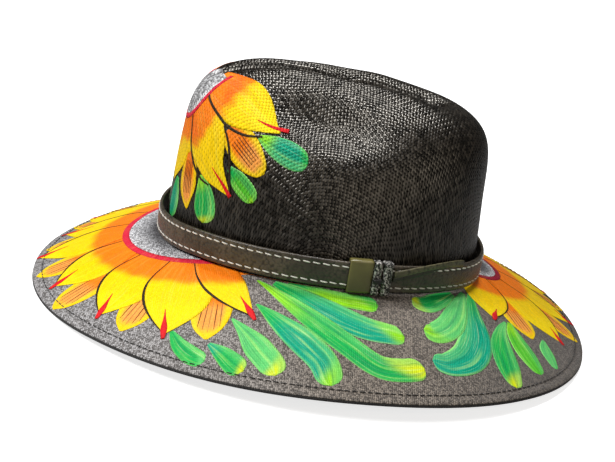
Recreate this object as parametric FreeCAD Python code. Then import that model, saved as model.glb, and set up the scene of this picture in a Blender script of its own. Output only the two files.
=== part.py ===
"""Hand-painted pinch-front hat: a woven crown on a wide down-turned brim, with a stitched leather
hatband, a sliding keeper and a knotted lace.

Millimetres, +Z up. The wearer faces -Y. The origin is the centre of the head opening, in the plane
through the middle of the crown's lower edge, so the brim hangs below Z = 0 and the crown stands above.

Most places are given in hat coordinates (phi, out, z): phi is the direction of the crown wall's
outward normal, counted in degrees from the front towards +X, and out is the distance outwards from the
crown's outer wall. The head oval is four arcs, so every parallel of it is an exact offset.
"""

import FreeCAD
import Part
import math
import os

from FreeCAD import Vector

# Head oval: the crown's outer wall at its lower edge.
OVAL_HALF_WIDTH = 84.5
OVAL_HALF_LENGTH = 100.5
OVAL_END_RADIUS = 74.5
SADDLE = 4.0  # the hatband's lower edge rises this much at the sides and dips as much at front and back

# Crown: a shell with a pinched front and a long crease in its top.
CROWN_WALL = 1.4
CROWN_HEIGHT = 113.6
CROWN_TOP_FALL = 0.056  # the top line falls this much per mm towards the back
CROWN_TOP_SAG = 0.0001  # and by this per mm squared away from the middle
CROWN_SKIRT = 8.0  # the wall goes on below Z = 0, where the sweatband is sewn to it
SIDE_TAPER, FRONT_TAPER, BACK_TAPER = 0.18, 0.08, 0.06
SHOULDER_SIDE, SHOULDER_FRONT, SHOULDER_BACK = 3.2, 9.5, 11.0  # exponents: the higher, the squarer
TOP_SHARE = 0.8  # share of the oval where the wall's steps end and the top's begin
WALL_STEPS = 0.55  # share of the steps that climb the wall
CREASE_DEPTH = 15.0
CREASE_FRONT_Y, CREASE_BACK_Y = -74.0, 50.0
CREASE_FRONT_HALF, CREASE_BACK_HALF = 6.5, 11.0
CREASE_END_FADE = 12.0
CREASE_FROM, CREASE_FULL = 0.6, 0.9  # shares of the height between which the crease sets in
DENT_DEPTH = 11.0
DENT_Y, DENT_Z = -18.0, 94.5
DENT_LONG, DENT_SHORT = 36.0, 12.0
DENT_SLOPE = -0.12  # the dent falls towards the back
DENT_FROM_X, DENT_FULL_X = 8.0, 26.0  # between these the dents set in, off the middle of the crown
DENT_TILT = 40.0  # the dents are pressed inwards and this much downwards

# Brim: two cloths, with a wire in the turned hem.
BRIM_WIDTH = 79.4
BRIM_DROP, BRIM_DROP_ENDS = 35.8, 5.0
BRIM_STEP = 2.0  # the brim starts this far under the hatband's lower edge
BRIM_CURL = 0.19  # share of the fall that grows with the square of the distance
CLOTH = 0.7
WIRE_RADIUS = 0.75
HEM_DEPTH = 9.0
HEM_CLOTH = 0.6
TOPSTITCH_IN = 5.5
THREAD = 0.3
LOOSE = 0.05  # between pieces that lie against each other
BRIM_START = 0.35  # from the crown's wall to the brim's inner edge

# Inside.
SWEATBAND_WALL = 1.1
SWEATBAND_GAP = 0.2
SWEATBAND_BOTTOM, SWEATBAND_TOP = -7.5, 24.0
SWEATBAND_LEAN = 3.4  # its top edge stands this much further in
SWEATBAND_SEAM = -4.5

# Hatband.
BAND_BACK = 2.4
BAND_FACE = 4.4
BAND_HEIGHT = 17.0
BAND_SEAM_IN = 3.0
BAND_END_GAP = 1.0
SEAM_PROUD = 0.3
SEAM_TALL = 0.5

# What rides on the hatband.
SLEEVE_PLAY = 0.6  # towards the crown
SLEEVE_OVER = 1.5  # above the strap
SLEEVE_EDGE = 0.9  # thickness of a sleeve above and below the strap
SLEEVE_BACK = 0.7
SLEEVE_FACE = 5.0
KEEPER_PHI, KEEPER_HALF = 100.2, 3.45
KEEPER_WALL, KEEPER_UNDER = 1.1, 0.4  # under: play below the strap
LACE_PHI, LACE_HALF, LACE_WALL, LACE_UNDER = (105.1, 108.2), (1.15, 1.45), (1.9, 2.4), 0.7
BAR_FROM, BAR_TO = 103.9, 106.4
BAR_BOTTOM, BAR_TALL, BAR_THICK = 9.6, 3.4, 1.9

# Lace tails: flat strips that leave the knot towards the back.
TAIL_THICK = 1.2
TAIL_ROOT = 110.1
UPPER_TAIL_END, UPPER_TAIL_BACK, UPPER_TAIL_WIDTH = 136.0, 6.4, 3.9
UPPER_TAIL_LOW, UPPER_TAIL_RISE, UPPER_TAIL_ARCH = 12.45, 4.45, 135.0
LOWER_TAIL_END, LOWER_TAIL_BACK, LOWER_TAIL_WIDTH = 127.0, 4.95, 3.0
LOWER_TAIL_LOW, LOWER_TAIL_RISE, LOWER_TAIL_ARCH = 8.55, 13.4, 30.0

AROUND = 48  # points on each closed curve
CROWN_RINGS = 24  # steps from the crown's lower edge to the middle of its top

SIDE_RADIUS = (OVAL_HALF_WIDTH**2 + (OVAL_HALF_LENGTH - OVAL_END_RADIUS) ** 2 - OVAL_END_RADIUS**2) / (
    2 * (OVAL_HALF_WIDTH - OVAL_END_RADIUS)
)
SIDE_CENTRE = SIDE_RADIUS - OVAL_HALF_WIDTH  # the +X side arc is centred at (-SIDE_CENTRE, 0)
END_CENTRE = OVAL_HALF_LENGTH - OVAL_END_RADIUS
ARC_JOINT = math.degrees(math.atan2(SIDE_CENTRE, END_CENTRE))


# Places ----------------------------------------------------------------------------------------


def plan(phi, out):
    """The plan point on the oval's parallel, out from the crown wall."""
    phi = (phi + 180.0) % 360.0 - 180.0
    s, c = math.sin(math.radians(phi)), math.cos(math.radians(phi))
    if ARC_JOINT < abs(phi) < 180.0 - ARC_JOINT:
        return (SIDE_RADIUS + out) * s - math.copysign(SIDE_CENTRE, s), -(SIDE_RADIUS + out) * c
    return (OVAL_END_RADIUS + out) * s, -(OVAL_END_RADIUS + out) * c - math.copysign(END_CENTRE, c)


def plan_radius(phi, out):
    """Like plan, for points on the +X side only, where the strap and its riders share one centre."""
    s, c = math.sin(math.radians(phi)), math.cos(math.radians(phi))
    return (SIDE_RADIUS + out) * s - SIDE_CENTRE, -(SIDE_RADIUS + out) * c


def saddle(phi):
    return -SADDLE * math.cos(math.radians(2 * phi))


def wall_point(phi, out, z):
    x, y = plan(phi, out)
    return Vector(x, y, z)


def band_point(phi, out, z):
    """A point whose height is counted from the hatband's lower edge."""
    return wall_point(phi, out, saddle(phi) + z)


def brim_point(phi, out, under=0.0):
    """A point of the brim's upper face, or under it along Z."""
    t = out / BRIM_WIDTH
    start = saddle(phi) - BRIM_STEP
    edge = -(BRIM_DROP + BRIM_DROP_ENDS * math.cos(math.radians(2 * phi)))
    z = start + (edge - start) * ((1 - BRIM_CURL) * t + BRIM_CURL * t * t)
    return wall_point(phi, out, z - under)


# Curves and solids -----------------------------------------------------------------------------


def closed_curve(point):
    """A closed smooth edge through point(phi), always with the same parameters so that edges loft well."""
    points = [point(180.0 + 360.0 * i / AROUND) for i in range(AROUND)]
    curve = Part.BSplineCurve()
    curve.interpolate(Points=points, PeriodicFlag=True, Parameters=[i / AROUND for i in range(AROUND + 1)])
    return curve.toShape()


def open_curve(point, start, end, count=13):
    points = [point(start + (end - start) * i / (count - 1)) for i in range(count)]
    curve = Part.BSplineCurve()
    curve.interpolate(Points=points, Parameters=[i / (count - 1) for i in range(count)])
    return curve.toShape()


def sewn_solid(faces):
    shell = Part.makeShell(faces)
    shell.sewShape()
    solid = Part.makeSolid(shell if shell.ShapeType == "Shell" else shell.Shells[0])
    if solid.Volume < 0:
        solid.reverse()
    return solid


def ring(point, corners):
    """A closed ring whose section is the polygon of these corners of point(phi, a, b)."""
    edges = [closed_curve(lambda phi, a=a, b=b: point(phi, a, b)) for a, b in corners]
    return sewn_solid([Part.makeRuledSurface(a, b) for a, b in zip(edges, edges[1:] + edges[:1])])


def skin(edges):
    """A smooth face through closed edges."""
    return Part.makeLoft([Part.Wire([e]) for e in edges], False, False).Faces


def sheet(outs, upper, lower):
    """A closed ring of brim cloth between two depths under the brim's upper face."""
    top = [closed_curve(lambda phi, o=o: brim_point(phi, o, upper)) for o in outs]
    bottom = [closed_curve(lambda phi, o=o: brim_point(phi, o, lower)) for o in outs]
    rims = [Part.makeRuledSurface(top[0], bottom[0]), Part.makeRuledSurface(top[-1], bottom[-1])]
    return sewn_solid(skin(top) + skin(bottom) + rims)


def evenly(start, end, count):
    return [start + (end - start) * i / (count - 1) for i in range(count)]


def turned(corners, phi_from, phi_to):
    """A solid swept about the +X side arc's centre: its section is the polygon of these (out, z)."""
    points = [Vector(*plan_radius(phi_from, out), z) for out, z in corners]
    face = Part.Face(Part.makePolygon(points + points[:1]))
    return face.revolve(Vector(-SIDE_CENTRE, 0, 0), Vector(0, 0, 1), phi_to - phi_from)


def box_section(back, face, bottom, top):
    return [(back, bottom), (face, bottom), (face, top), (back, top)]


def thread_ring(point, a, b):
    """A thread ring about the place (a, b) of point."""
    corners = []
    for i in range(6):
        angle = math.radians(60.0 * i)
        corners.append((a + THREAD * math.cos(angle), b + THREAD * math.sin(angle)))
    return ring(point, corners)


# Crown -----------------------------------------------------------------------------------------


def crown_point(phi, step, inset):
    """A point of the crown's outer face, or of the inner face at inset.

    step runs from 0 at the lower edge to 1 at the middle of the top.
    """
    side = math.sin(math.radians(phi)) ** 2
    to_back = (1.0 - math.cos(math.radians(phi))) / 2
    end = SHOULDER_FRONT + (SHOULDER_BACK - SHOULDER_FRONT) * to_back
    power = end + (SHOULDER_SIDE - end) * side
    if step < WALL_STEPS:
        height = (1.0 - TOP_SHARE**2) ** (1.0 / power) * step / WALL_STEPS
        share = math.sqrt(1.0 - height**power)
    else:
        share = TOP_SHARE * (1.0 - step) / (1.0 - WALL_STEPS)
        height = (1.0 - share * share) ** (1.0 / power)
    x0, y0 = plan(phi, -inset)
    x = x0 * share * (1.0 - SIDE_TAPER * height)
    y = y0 * share * (1.0 - (FRONT_TAPER if y0 < 0 else BACK_TAPER) * height)
    z = height * (CROWN_HEIGHT - CROWN_TOP_FALL * y - CROWN_TOP_SAG * y * y - inset)
    return bashed(x, y, z)


def bashed(x, y, z):
    """The point after the crease is pressed into the top and the two finger dents into the front."""
    run = min(1.0, max(0.0, (y - CREASE_FRONT_Y) / (CREASE_BACK_Y - CREASE_FRONT_Y)))
    half = CREASE_FRONT_HALF + (CREASE_BACK_HALF - CREASE_FRONT_HALF) * run
    beyond = max(0.0, CREASE_FRONT_Y - y, y - CREASE_BACK_Y)
    top = min(1.0, max(0.0, (z / CROWN_HEIGHT - CREASE_FROM) / (CREASE_FULL - CREASE_FROM)))
    crease = CREASE_DEPTH * top * math.exp(-((x / half) ** 2) - (beyond / CREASE_END_FADE) ** 2)
    dy = y - DENT_Y
    dz = z - DENT_Z - DENT_SLOPE * dy
    dent = DENT_DEPTH * math.exp(-((dy / DENT_LONG) ** 2) - (dz / DENT_SHORT) ** 2)
    reach = min(1.0, max(0.0, (abs(x) - DENT_FROM_X) / (DENT_FULL_X - DENT_FROM_X)))
    dent *= reach * reach * (3 - 2 * reach)
    inwards = dent * math.cos(math.radians(DENT_TILT))
    downwards = dent * math.sin(math.radians(DENT_TILT))
    return Vector(x - math.copysign(inwards, x), y, z - crease - downwards)


def crown_skin(inset):
    """Faces of the crown's outer or inner face, closed at the top, and its lowest edge."""
    lowest = closed_curve(lambda phi: wall_point(phi, -inset, -CROWN_SKIRT))
    steps = [k / CROWN_RINGS for k in range(CROWN_RINGS)]
    edges = [closed_curve(lambda phi, s=s: crown_point(phi, s, inset)) for s in steps]
    skirt = Part.makeRuledSurface(lowest, edges[0])
    return [skirt] + skin(edges) + [Part.makeFilledFace([edges[-1]])], lowest


def crown():
    outer, outer_edge = crown_skin(0.0)
    inner, inner_edge = crown_skin(CROWN_WALL)
    return sewn_solid(outer + inner + [Part.makeRuledSurface(outer_edge, inner_edge)])


# Brim ------------------------------------------------------------------------------------------


def brim_upper():
    return sheet(evenly(BRIM_START, BRIM_WIDTH, 6), 0.0, CLOTH)


def brim_lower():
    inside_wire = BRIM_WIDTH - HEM_CLOTH - 2 * WIRE_RADIUS - 4 * LOOSE
    return sheet(evenly(BRIM_START, inside_wire, 6), CLOTH + LOOSE, 2 * CLOTH + LOOSE)


def brim_wire():
    out = BRIM_WIDTH - HEM_CLOTH - LOOSE - WIRE_RADIUS
    depth = CLOTH + LOOSE + WIRE_RADIUS
    corners = []
    for i in range(8):
        angle = math.radians(45.0 * i)
        corners.append((out + WIRE_RADIUS * math.cos(angle), depth + WIRE_RADIUS * math.sin(angle)))
    return ring(brim_point, corners)


def brim_hem():
    """The strip that closes the edge: down at the rim, under the wire and back below the cloth."""
    rim, tip = BRIM_WIDTH, BRIM_WIDTH - HEM_DEPTH
    knee = BRIM_WIDTH - 3.6
    top = CLOTH + LOOSE
    under_wire = top + 2 * WIRE_RADIUS + LOOSE
    under_cloth = 2 * CLOTH + 2 * LOOSE
    return ring(
        brim_point,
        [
            (rim, top),
            (rim, under_wire + HEM_CLOTH),
            (knee, under_wire + HEM_CLOTH),
            (tip, under_cloth + HEM_CLOTH),
            (tip, under_cloth),
            (knee, under_wire),
            (rim - HEM_CLOTH, under_wire),
            (rim - HEM_CLOTH, top),
        ],
    )


def brim_topstitch():
    return thread_ring(brim_point, BRIM_WIDTH - TOPSTITCH_IN, -THREAD - LOOSE)


# Inside ----------------------------------------------------------------------------------------


def sweatband_out(z):
    """How far the sweatband's outer face is from the crown's outer wall at height z."""
    lean = SWEATBAND_LEAN * (z - SWEATBAND_BOTTOM) / (SWEATBAND_TOP - SWEATBAND_BOTTOM)
    return -(CROWN_WALL + SWEATBAND_GAP + lean)


def sweatband():
    low, high = sweatband_out(SWEATBAND_BOTTOM), sweatband_out(SWEATBAND_TOP)
    return ring(
        wall_point,
        [
            (low, SWEATBAND_BOTTOM),
            (high, SWEATBAND_TOP),
            (high - SWEATBAND_WALL, SWEATBAND_TOP),
            (low - SWEATBAND_WALL, SWEATBAND_BOTTOM),
        ],
    )


def sweatband_stitch():
    out = sweatband_out(SWEATBAND_SEAM) - SWEATBAND_WALL - THREAD - 2 * LOOSE
    return thread_ring(wall_point, out, SWEATBAND_SEAM)


# Hatband ---------------------------------------------------------------------------------------


def hatband():
    """The strap; its ends meet with a small gap under the keeper."""
    strap = ring(band_point, box_section(BAND_BACK, BAND_FACE, 0.0, BAND_HEIGHT))
    half = math.degrees(BAND_END_GAP / 2 / (SIDE_RADIUS + BAND_FACE))
    below, above = -2 * SADDLE, BAND_HEIGHT + 2 * SADDLE
    slot = turned(box_section(0.0, 2 * BAND_FACE, below, above), KEEPER_PHI - half, KEEPER_PHI + half)
    return strap.cut(slot).Solids[0]


def band_seam(height):
    back = BAND_FACE + LOOSE
    low, high = height - SEAM_TALL / 2, height + SEAM_TALL / 2
    return ring(band_point, box_section(back, back + SEAM_PROUD, low, high))


def hatband_stitch_upper():
    return band_seam(BAND_HEIGHT - BAND_SEAM_IN)


def hatband_stitch_lower():
    return band_seam(BAND_SEAM_IN)


def sleeve(phi, half, wall, under):
    """A loop about the strap, with room to slide."""
    bottom = saddle(phi) - under
    top = saddle(phi) + BAND_HEIGHT + SLEEVE_OVER
    outside = box_section(SLEEVE_BACK, SLEEVE_FACE + wall, bottom - SLEEVE_EDGE, top + SLEEVE_EDGE)
    inside = box_section(BAND_BACK - SLEEVE_PLAY, SLEEVE_FACE, bottom, top)
    hole = turned(inside, phi - half - 1.0, phi + half + 1.0)
    return turned(outside, phi - half, phi + half).cut(hole).Solids[0]


def keeper():
    return sleeve(KEEPER_PHI, KEEPER_HALF, KEEPER_WALL, KEEPER_UNDER)


def lace_wrap_front():
    return sleeve(LACE_PHI[0], LACE_HALF[0], LACE_WALL[0], LACE_UNDER)


def lace_wrap_rear():
    return sleeve(LACE_PHI[1], LACE_HALF[1], LACE_WALL[1], LACE_UNDER)


def lace_knot_bar():
    back = SLEEVE_FACE + LACE_WALL[0] + LOOSE
    return turned(box_section(back, back + BAR_THICK, BAR_BOTTOM, BAR_BOTTOM + BAR_TALL), BAR_FROM, BAR_TO)


def tail(back, width, low, rise, arch, end):
    """A flat strip along the strap; its middle follows the first part of a sine, arch degrees long."""

    def centre(phi):
        run = (phi - TAIL_ROOT) / (end - TAIL_ROOT)
        return saddle(TAIL_ROOT) + low + rise * math.sin(math.radians(arch * run))

    def corner(out, side):
        return lambda phi: Vector(*plan_radius(phi, out), centre(phi) + side * width / 2)

    face = back + TAIL_THICK
    places = [corner(back, -1), corner(face, -1), corner(face, 1), corner(back, 1)]
    edges = [open_curve(p, TAIL_ROOT, end) for p in places]
    faces = [Part.makeRuledSurface(a, b) for a, b in zip(edges, edges[1:] + edges[:1])]
    for phi in (TAIL_ROOT, end):
        corners = [p(phi) for p in places]
        faces.append(Part.Face(Part.makePolygon(corners + corners[:1])))
    return sewn_solid(faces)


def lace_tail_upper():
    rise = (UPPER_TAIL_LOW, UPPER_TAIL_RISE, UPPER_TAIL_ARCH)
    return tail(UPPER_TAIL_BACK, UPPER_TAIL_WIDTH, *rise, UPPER_TAIL_END)


def lace_tail_lower():
    rise = (LOWER_TAIL_LOW, LOWER_TAIL_RISE, LOWER_TAIL_ARCH)
    return tail(LOWER_TAIL_BACK, LOWER_TAIL_WIDTH, *rise, LOWER_TAIL_END)


NODES = (
    crown,
    brim_upper,
    brim_lower,
    brim_wire,
    brim_hem,
    brim_topstitch,
    sweatband,
    sweatband_stitch,
    hatband,
    hatband_stitch_upper,
    hatband_stitch_lower,
    keeper,
    lace_wrap_front,
    lace_wrap_rear,
    lace_knot_bar,
    lace_tail_upper,
    lace_tail_lower,
)


def main():
    os.makedirs("parts", exist_ok=True)
    for make in NODES:
        shape = make()
        box = shape.BoundBox
        low = [round(v, 2) for v in (box.XMin, box.YMin, box.ZMin)]
        high = [round(v, 2) for v in (box.XMax, box.YMax, box.ZMax)]
        state = "valid" if shape.isValid() else "NOT VALID"
        print(make.__name__, shape.ShapeType, state, f"{shape.Volume / 1000:.3f} cm3", low, high)
        shape.exportStep(f"parts/{make.__name__}.step")


main()
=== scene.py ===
"""Looks of the painted hat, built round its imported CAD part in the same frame.

Lengths inside are millimetres and become metres when a mesh is made. Hat coordinates are those of the
CAD source: phi is the direction of the crown wall's outward normal, in degrees from the front (-Y)
towards +X, and out is the distance outwards from the crown's outer wall.
"""

import math

import bmesh
import bpy
import numpy as np
from mathutils import Matrix, Vector

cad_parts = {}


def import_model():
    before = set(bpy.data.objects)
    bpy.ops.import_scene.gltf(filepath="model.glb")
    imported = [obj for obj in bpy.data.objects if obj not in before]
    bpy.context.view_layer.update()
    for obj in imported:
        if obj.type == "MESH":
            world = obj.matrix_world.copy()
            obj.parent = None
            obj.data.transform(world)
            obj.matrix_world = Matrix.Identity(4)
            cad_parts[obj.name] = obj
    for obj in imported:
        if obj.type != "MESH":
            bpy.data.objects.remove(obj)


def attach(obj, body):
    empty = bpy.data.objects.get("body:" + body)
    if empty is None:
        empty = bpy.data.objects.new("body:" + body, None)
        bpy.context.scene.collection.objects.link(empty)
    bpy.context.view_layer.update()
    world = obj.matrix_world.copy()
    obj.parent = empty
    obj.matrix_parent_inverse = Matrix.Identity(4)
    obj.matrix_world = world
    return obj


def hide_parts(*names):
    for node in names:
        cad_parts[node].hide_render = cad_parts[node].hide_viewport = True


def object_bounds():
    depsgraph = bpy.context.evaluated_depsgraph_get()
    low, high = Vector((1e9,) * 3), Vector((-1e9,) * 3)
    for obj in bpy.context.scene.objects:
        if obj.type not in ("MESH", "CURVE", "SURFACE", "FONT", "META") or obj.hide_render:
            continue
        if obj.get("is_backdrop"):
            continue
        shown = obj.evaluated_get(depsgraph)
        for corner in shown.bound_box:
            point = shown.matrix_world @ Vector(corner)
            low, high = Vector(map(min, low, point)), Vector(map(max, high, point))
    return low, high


MM = 0.001

# The CAD part's driving dimensions that the looks repeat.
OVAL_END_RADIUS, SIDE_CENTRE, END_CENTRE = 74.5, 28.8, 26.0
SIDE_RADIUS = 84.5 + SIDE_CENTRE
ARC_JOINT = math.degrees(math.atan2(SIDE_CENTRE, END_CENTRE))
SADDLE = 4.0
CROWN_HEIGHT, CROWN_WALL, CROWN_SKIRT = 113.6, 1.4, 8.0
CROWN_TOP_FALL, CROWN_TOP_SAG = 0.056, 0.0001
SIDE_TAPER, FRONT_TAPER, BACK_TAPER = 0.18, 0.08, 0.06
SHOULDER_SIDE, SHOULDER_FRONT, SHOULDER_BACK = 3.2, 9.5, 11.0
TOP_SHARE, WALL_STEPS = 0.8, 0.55
CREASE_DEPTH, CREASE_FRONT_Y, CREASE_BACK_Y = 15.0, -74.0, 50.0
CREASE_FRONT_HALF, CREASE_BACK_HALF, CREASE_END_FADE = 6.5, 11.0, 12.0
CREASE_FROM, CREASE_FULL = 0.6, 0.9
DENT_DEPTH, DENT_Y, DENT_Z, DENT_TILT = 11.0, -18.0, 94.5, 40.0
DENT_LONG, DENT_SHORT, DENT_SLOPE, DENT_FROM_X, DENT_FULL_X = 36.0, 12.0, -0.12, 8.0, 26.0
BRIM_WIDTH, BRIM_DROP, BRIM_DROP_ENDS, BRIM_STEP, BRIM_CURL = 79.4, 35.8, 5.0, 2.0, 0.19
BRIM_START, CLOTH, TOPSTITCH_OUT = 0.35, 0.7, 73.9
WIRE_OUT, WIRE_UNDER, WIRE_RADIUS = 78.0, 1.5, 0.75
SWEATBAND_LOW_OUT, SWEATBAND_HIGH_OUT, SWEATBAND_WALL = -1.6, -5.0, 1.1
SWEATBAND_BOTTOM, SWEATBAND_HEIGHT, SWEATBAND_SEAM = -7.5, 31.5, -4.5
BAND_BACK, BAND_FACE, BAND_HEIGHT, BAND_SEAM_IN = 2.4, 4.4, 17.0, 3.0
SLEEVE_BACK, SLEEVE_FACE, SLEEVE_WALL, SLEEVE_OVER, SLEEVE_EDGE = 0.7, 5.0, 1.1, 1.5, 0.9
KEEPER_PHI, KEEPER_HALF, KEEPER_WALL, KEEPER_UNDER = 100.2, 3.45, 1.1, 0.4
LACE_UNDER, LACE_FRONT_WALL = 0.7, 1.9
BAR_FROM, BAR_TO, BAR_BOTTOM, BAR_TOP, BAR_THICK = 103.9, 106.4, 9.6, 13.0, 1.8
TAIL_ROOT, TAIL_THICK = 110.1, 1.2

# The cloths' thread pitch, and how far their threads wander off a straight line.
CROWN_PITCH, CROWN_WANDER = 2.05, 1.6
BRIM_PITCH, BRIM_WANDER = 1.15, 0.8

# The crown's chart for painting: u runs round the wall and v = CHART_TALL * step climbs it, both near mm.
CHART_END, CHART_SIDE, CHART_TALL = 1.30, 1.977, 180.0
CHART_JOINT = CHART_END * ARC_JOINT


# Shapes shared with the CAD source ---------------------------------------------------------------


def plan(phi, out):
    phi = (np.asarray(phi, float) + 180.0) % 360.0 - 180.0
    s, c = np.sin(np.radians(phi)), np.cos(np.radians(phi))
    on_side = (np.abs(phi) > ARC_JOINT) & (np.abs(phi) < 180.0 - ARC_JOINT)
    x_side = (SIDE_RADIUS + out) * s - np.copysign(SIDE_CENTRE, s)
    y_end = -(OVAL_END_RADIUS + out) * c - np.copysign(END_CENTRE, c)
    x = np.where(on_side, x_side, (OVAL_END_RADIUS + out) * s)
    y = np.where(on_side, -(SIDE_RADIUS + out) * c, y_end)
    return x, y


def unplan(x, y):
    """phi and out of a plan point."""
    side_x = x + np.where(x >= 0, SIDE_CENTRE, -SIDE_CENTRE)
    phi = np.degrees(np.arctan2(side_x, -y))
    on_side = (np.abs(phi) > ARC_JOINT) & (np.abs(phi) < 180.0 - ARC_JOINT)
    end_y = y - np.where(y >= 0, END_CENTRE, -END_CENTRE)
    end_phi = np.degrees(np.arctan2(x, -end_y))
    out = np.where(on_side, np.hypot(side_x, y) - SIDE_RADIUS, np.hypot(x, end_y) - OVAL_END_RADIUS)
    return np.where(on_side, phi, end_phi), out


def saddle(phi):
    return -SADDLE * np.cos(np.radians(2 * np.asarray(phi, float)))


def wall_point(phi, out, z):
    x, y = plan(phi, out)
    return np.stack(np.broadcast_arrays(x, y, z), -1)


def band_point(phi, out, z):
    return wall_point(phi, out, saddle(phi) + z)


def brim_point(phi, out, under=0.0):
    t = out / BRIM_WIDTH
    start = saddle(phi) - BRIM_STEP
    edge = -(BRIM_DROP + BRIM_DROP_ENDS * np.cos(np.radians(2 * np.asarray(phi, float))))
    z = start + (edge - start) * ((1 - BRIM_CURL) * t + BRIM_CURL * t * t)
    return wall_point(phi, out, z - under)


def crown_point(phi, step, inset=0.0):
    phi, step, inset = np.broadcast_arrays(np.asarray(phi, float), step, inset)
    side = np.sin(np.radians(phi)) ** 2
    to_back = (1.0 - np.cos(np.radians(phi))) / 2
    end = SHOULDER_FRONT + (SHOULDER_BACK - SHOULDER_FRONT) * to_back
    power = end + (SHOULDER_SIDE - end) * side
    on_wall = step < WALL_STEPS
    wall_height = (1.0 - TOP_SHARE**2) ** (1.0 / power) * np.minimum(step, WALL_STEPS) / WALL_STEPS
    top_share = TOP_SHARE * (1.0 - np.maximum(step, WALL_STEPS)) / (1.0 - WALL_STEPS)
    height = np.where(on_wall, wall_height, (1.0 - top_share**2) ** (1.0 / power))
    share = np.where(on_wall, np.sqrt(1.0 - wall_height**power), top_share)
    x0, y0 = plan(phi, -inset)
    x = x0 * share * (1.0 - SIDE_TAPER * height)
    y = y0 * share * (1.0 - np.where(y0 < 0, FRONT_TAPER, BACK_TAPER) * height)
    z = height * (CROWN_HEIGHT - CROWN_TOP_FALL * y - CROWN_TOP_SAG * y * y - inset)
    return bashed(x, y, z)


def bashed(x, y, z):
    """The crease pressed into the top, and the two finger dents."""
    run = np.clip((y - CREASE_FRONT_Y) / (CREASE_BACK_Y - CREASE_FRONT_Y), 0.0, 1.0)
    half = CREASE_FRONT_HALF + (CREASE_BACK_HALF - CREASE_FRONT_HALF) * run
    beyond = np.maximum(0.0, np.maximum(CREASE_FRONT_Y - y, y - CREASE_BACK_Y))
    top = np.clip((z / CROWN_HEIGHT - CREASE_FROM) / (CREASE_FULL - CREASE_FROM), 0.0, 1.0)
    crease = CREASE_DEPTH * top * np.exp(-((x / half) ** 2) - (beyond / CREASE_END_FADE) ** 2)
    dy = y - DENT_Y
    dz = z - DENT_Z - DENT_SLOPE * dy
    dent = DENT_DEPTH * np.exp(-((dy / DENT_LONG) ** 2) - (dz / DENT_SHORT) ** 2)
    dent = dent * smooth_step(np.abs(x), DENT_FROM_X, DENT_FULL_X)
    inwards, downwards = dent * math.cos(math.radians(DENT_TILT)), dent * math.sin(math.radians(DENT_TILT))
    return np.stack([x - np.copysign(inwards, x), y, z - crease - downwards], -1)


# Finished surfaces -------------------------------------------------------------------------------


def smooth_step(value, low, high):
    t = np.clip((value - low) / (high - low), 0.0, 1.0)
    return t * t * (3 - 2 * t)


def crown_face(phi, step, inset=0.0):
    """The crown's face with the slight unevenness of a hand-blocked hat."""
    a = np.radians(phi)
    wave = 0.35 * np.sin(3 * a + 1.0) * np.sin(9.0 * step + 0.5) + 0.25 * np.sin(7 * a) * np.cos(13.0 * step)
    wave = wave * smooth_step(step, 0.14, 0.3) * (1.0 - smooth_step(step, 0.75, 0.95))
    return crown_point(phi, step, inset - wave)


def brim_face(phi, out, under=0.0):
    """The brim's face, with the roll over its wire and the dip along its stitching."""
    roll = 0.30 * np.exp(-(((out - 77.5) / 1.2) ** 2))
    dip = 0.16 * np.exp(-(((out - TOPSTITCH_OUT) / 1.1) ** 2))
    a = np.radians(phi)
    sway = 0.45 * np.sin(4 * a + 0.6) + 0.3 * np.sin(7 * a + 2.0)
    sway = sway * smooth_step(out, 15.0, 75.0)
    return brim_point(phi, out, under - roll + dip - sway)


def descent_table():
    """How far down its side each point of the crown lies from the middle of the top, in mm."""
    phi = np.linspace(-180.0, 180.0, 361)
    points = crown_point(phi[None, :], np.linspace(1.0, 0.0, 161)[:, None])
    pieces = np.linalg.norm(np.diff(points, axis=0), axis=-1)
    return np.concatenate([np.zeros((1, 361)), np.cumsum(pieces, 0)])


DESCENT = descent_table()


def drape(phi, step):
    """Places in mm on a flat cloth shaped over the crown, whose rows droop to both sides of each face."""
    phi, step = np.broadcast_arrays(np.asarray(phi, float), np.asarray(step, float))
    point = crown_point(phi, np.clip(step, 0.0, 0.999))
    row, column = np.clip(1 - step, 0.0, 0.9999) * 160, np.clip(phi + 180.0, 0.0, 359.999)
    i, k = row.astype(int), column.astype(int)
    row, column = row - i, column - k
    upper = DESCENT[i, k] * (1 - column) + DESCENT[i, k + 1] * column
    lower = DESCENT[i + 1, k] * (1 - column) + DESCENT[i + 1, k + 1] * column
    down = upper * (1 - row) + lower * row - np.minimum(step, 0.0) * CHART_TALL + 0.01
    radius = np.hypot(point[..., 0], point[..., 1]) + 0.01
    s, c = point[..., 0] / radius, -point[..., 1] / radius
    ratio = np.maximum(1.0, down / radius) ** 2
    a = down * s / np.sqrt(s * s + ratio * c * c)
    b = down * c / np.sqrt(c * c + ratio * s * s)
    return np.stack([a, b], -1)


def chart_spot(p):
    """phi and step of a chart point (u, v)."""
    u = np.abs(p[..., 0])
    phi = np.where(u < CHART_JOINT, u / CHART_END, ARC_JOINT + (u - CHART_JOINT) / CHART_SIDE)
    return phi * np.sign(p[..., 0]), p[..., 1] / CHART_TALL


def crown_threads(p):
    return drape(*chart_spot(p))


def crown_place(p, lift):
    """The place of a chart point (u, v) on the crown, lifted off the cloth."""
    phi, step = chart_spot(p)
    along = crown_face(phi + 0.3, step) - crown_face(phi - 0.3, step)
    up = crown_face(phi, step + 0.002) - crown_face(phi, step - 0.002)
    normal = np.cross(along, up)
    normal /= np.linalg.norm(normal, axis=-1, keepdims=True)
    return crown_face(phi, step) + normal * np.asarray(lift)[..., None]


def brim_place(p, lift):
    """The place of a plan point (x, y) on the brim, lifted off the cloth."""
    phi, out = unplan(p[..., 0], p[..., 1])
    return brim_face(phi, np.clip(out, 1.0, BRIM_WIDTH - 0.6), -1.1 * np.asarray(lift))


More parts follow.
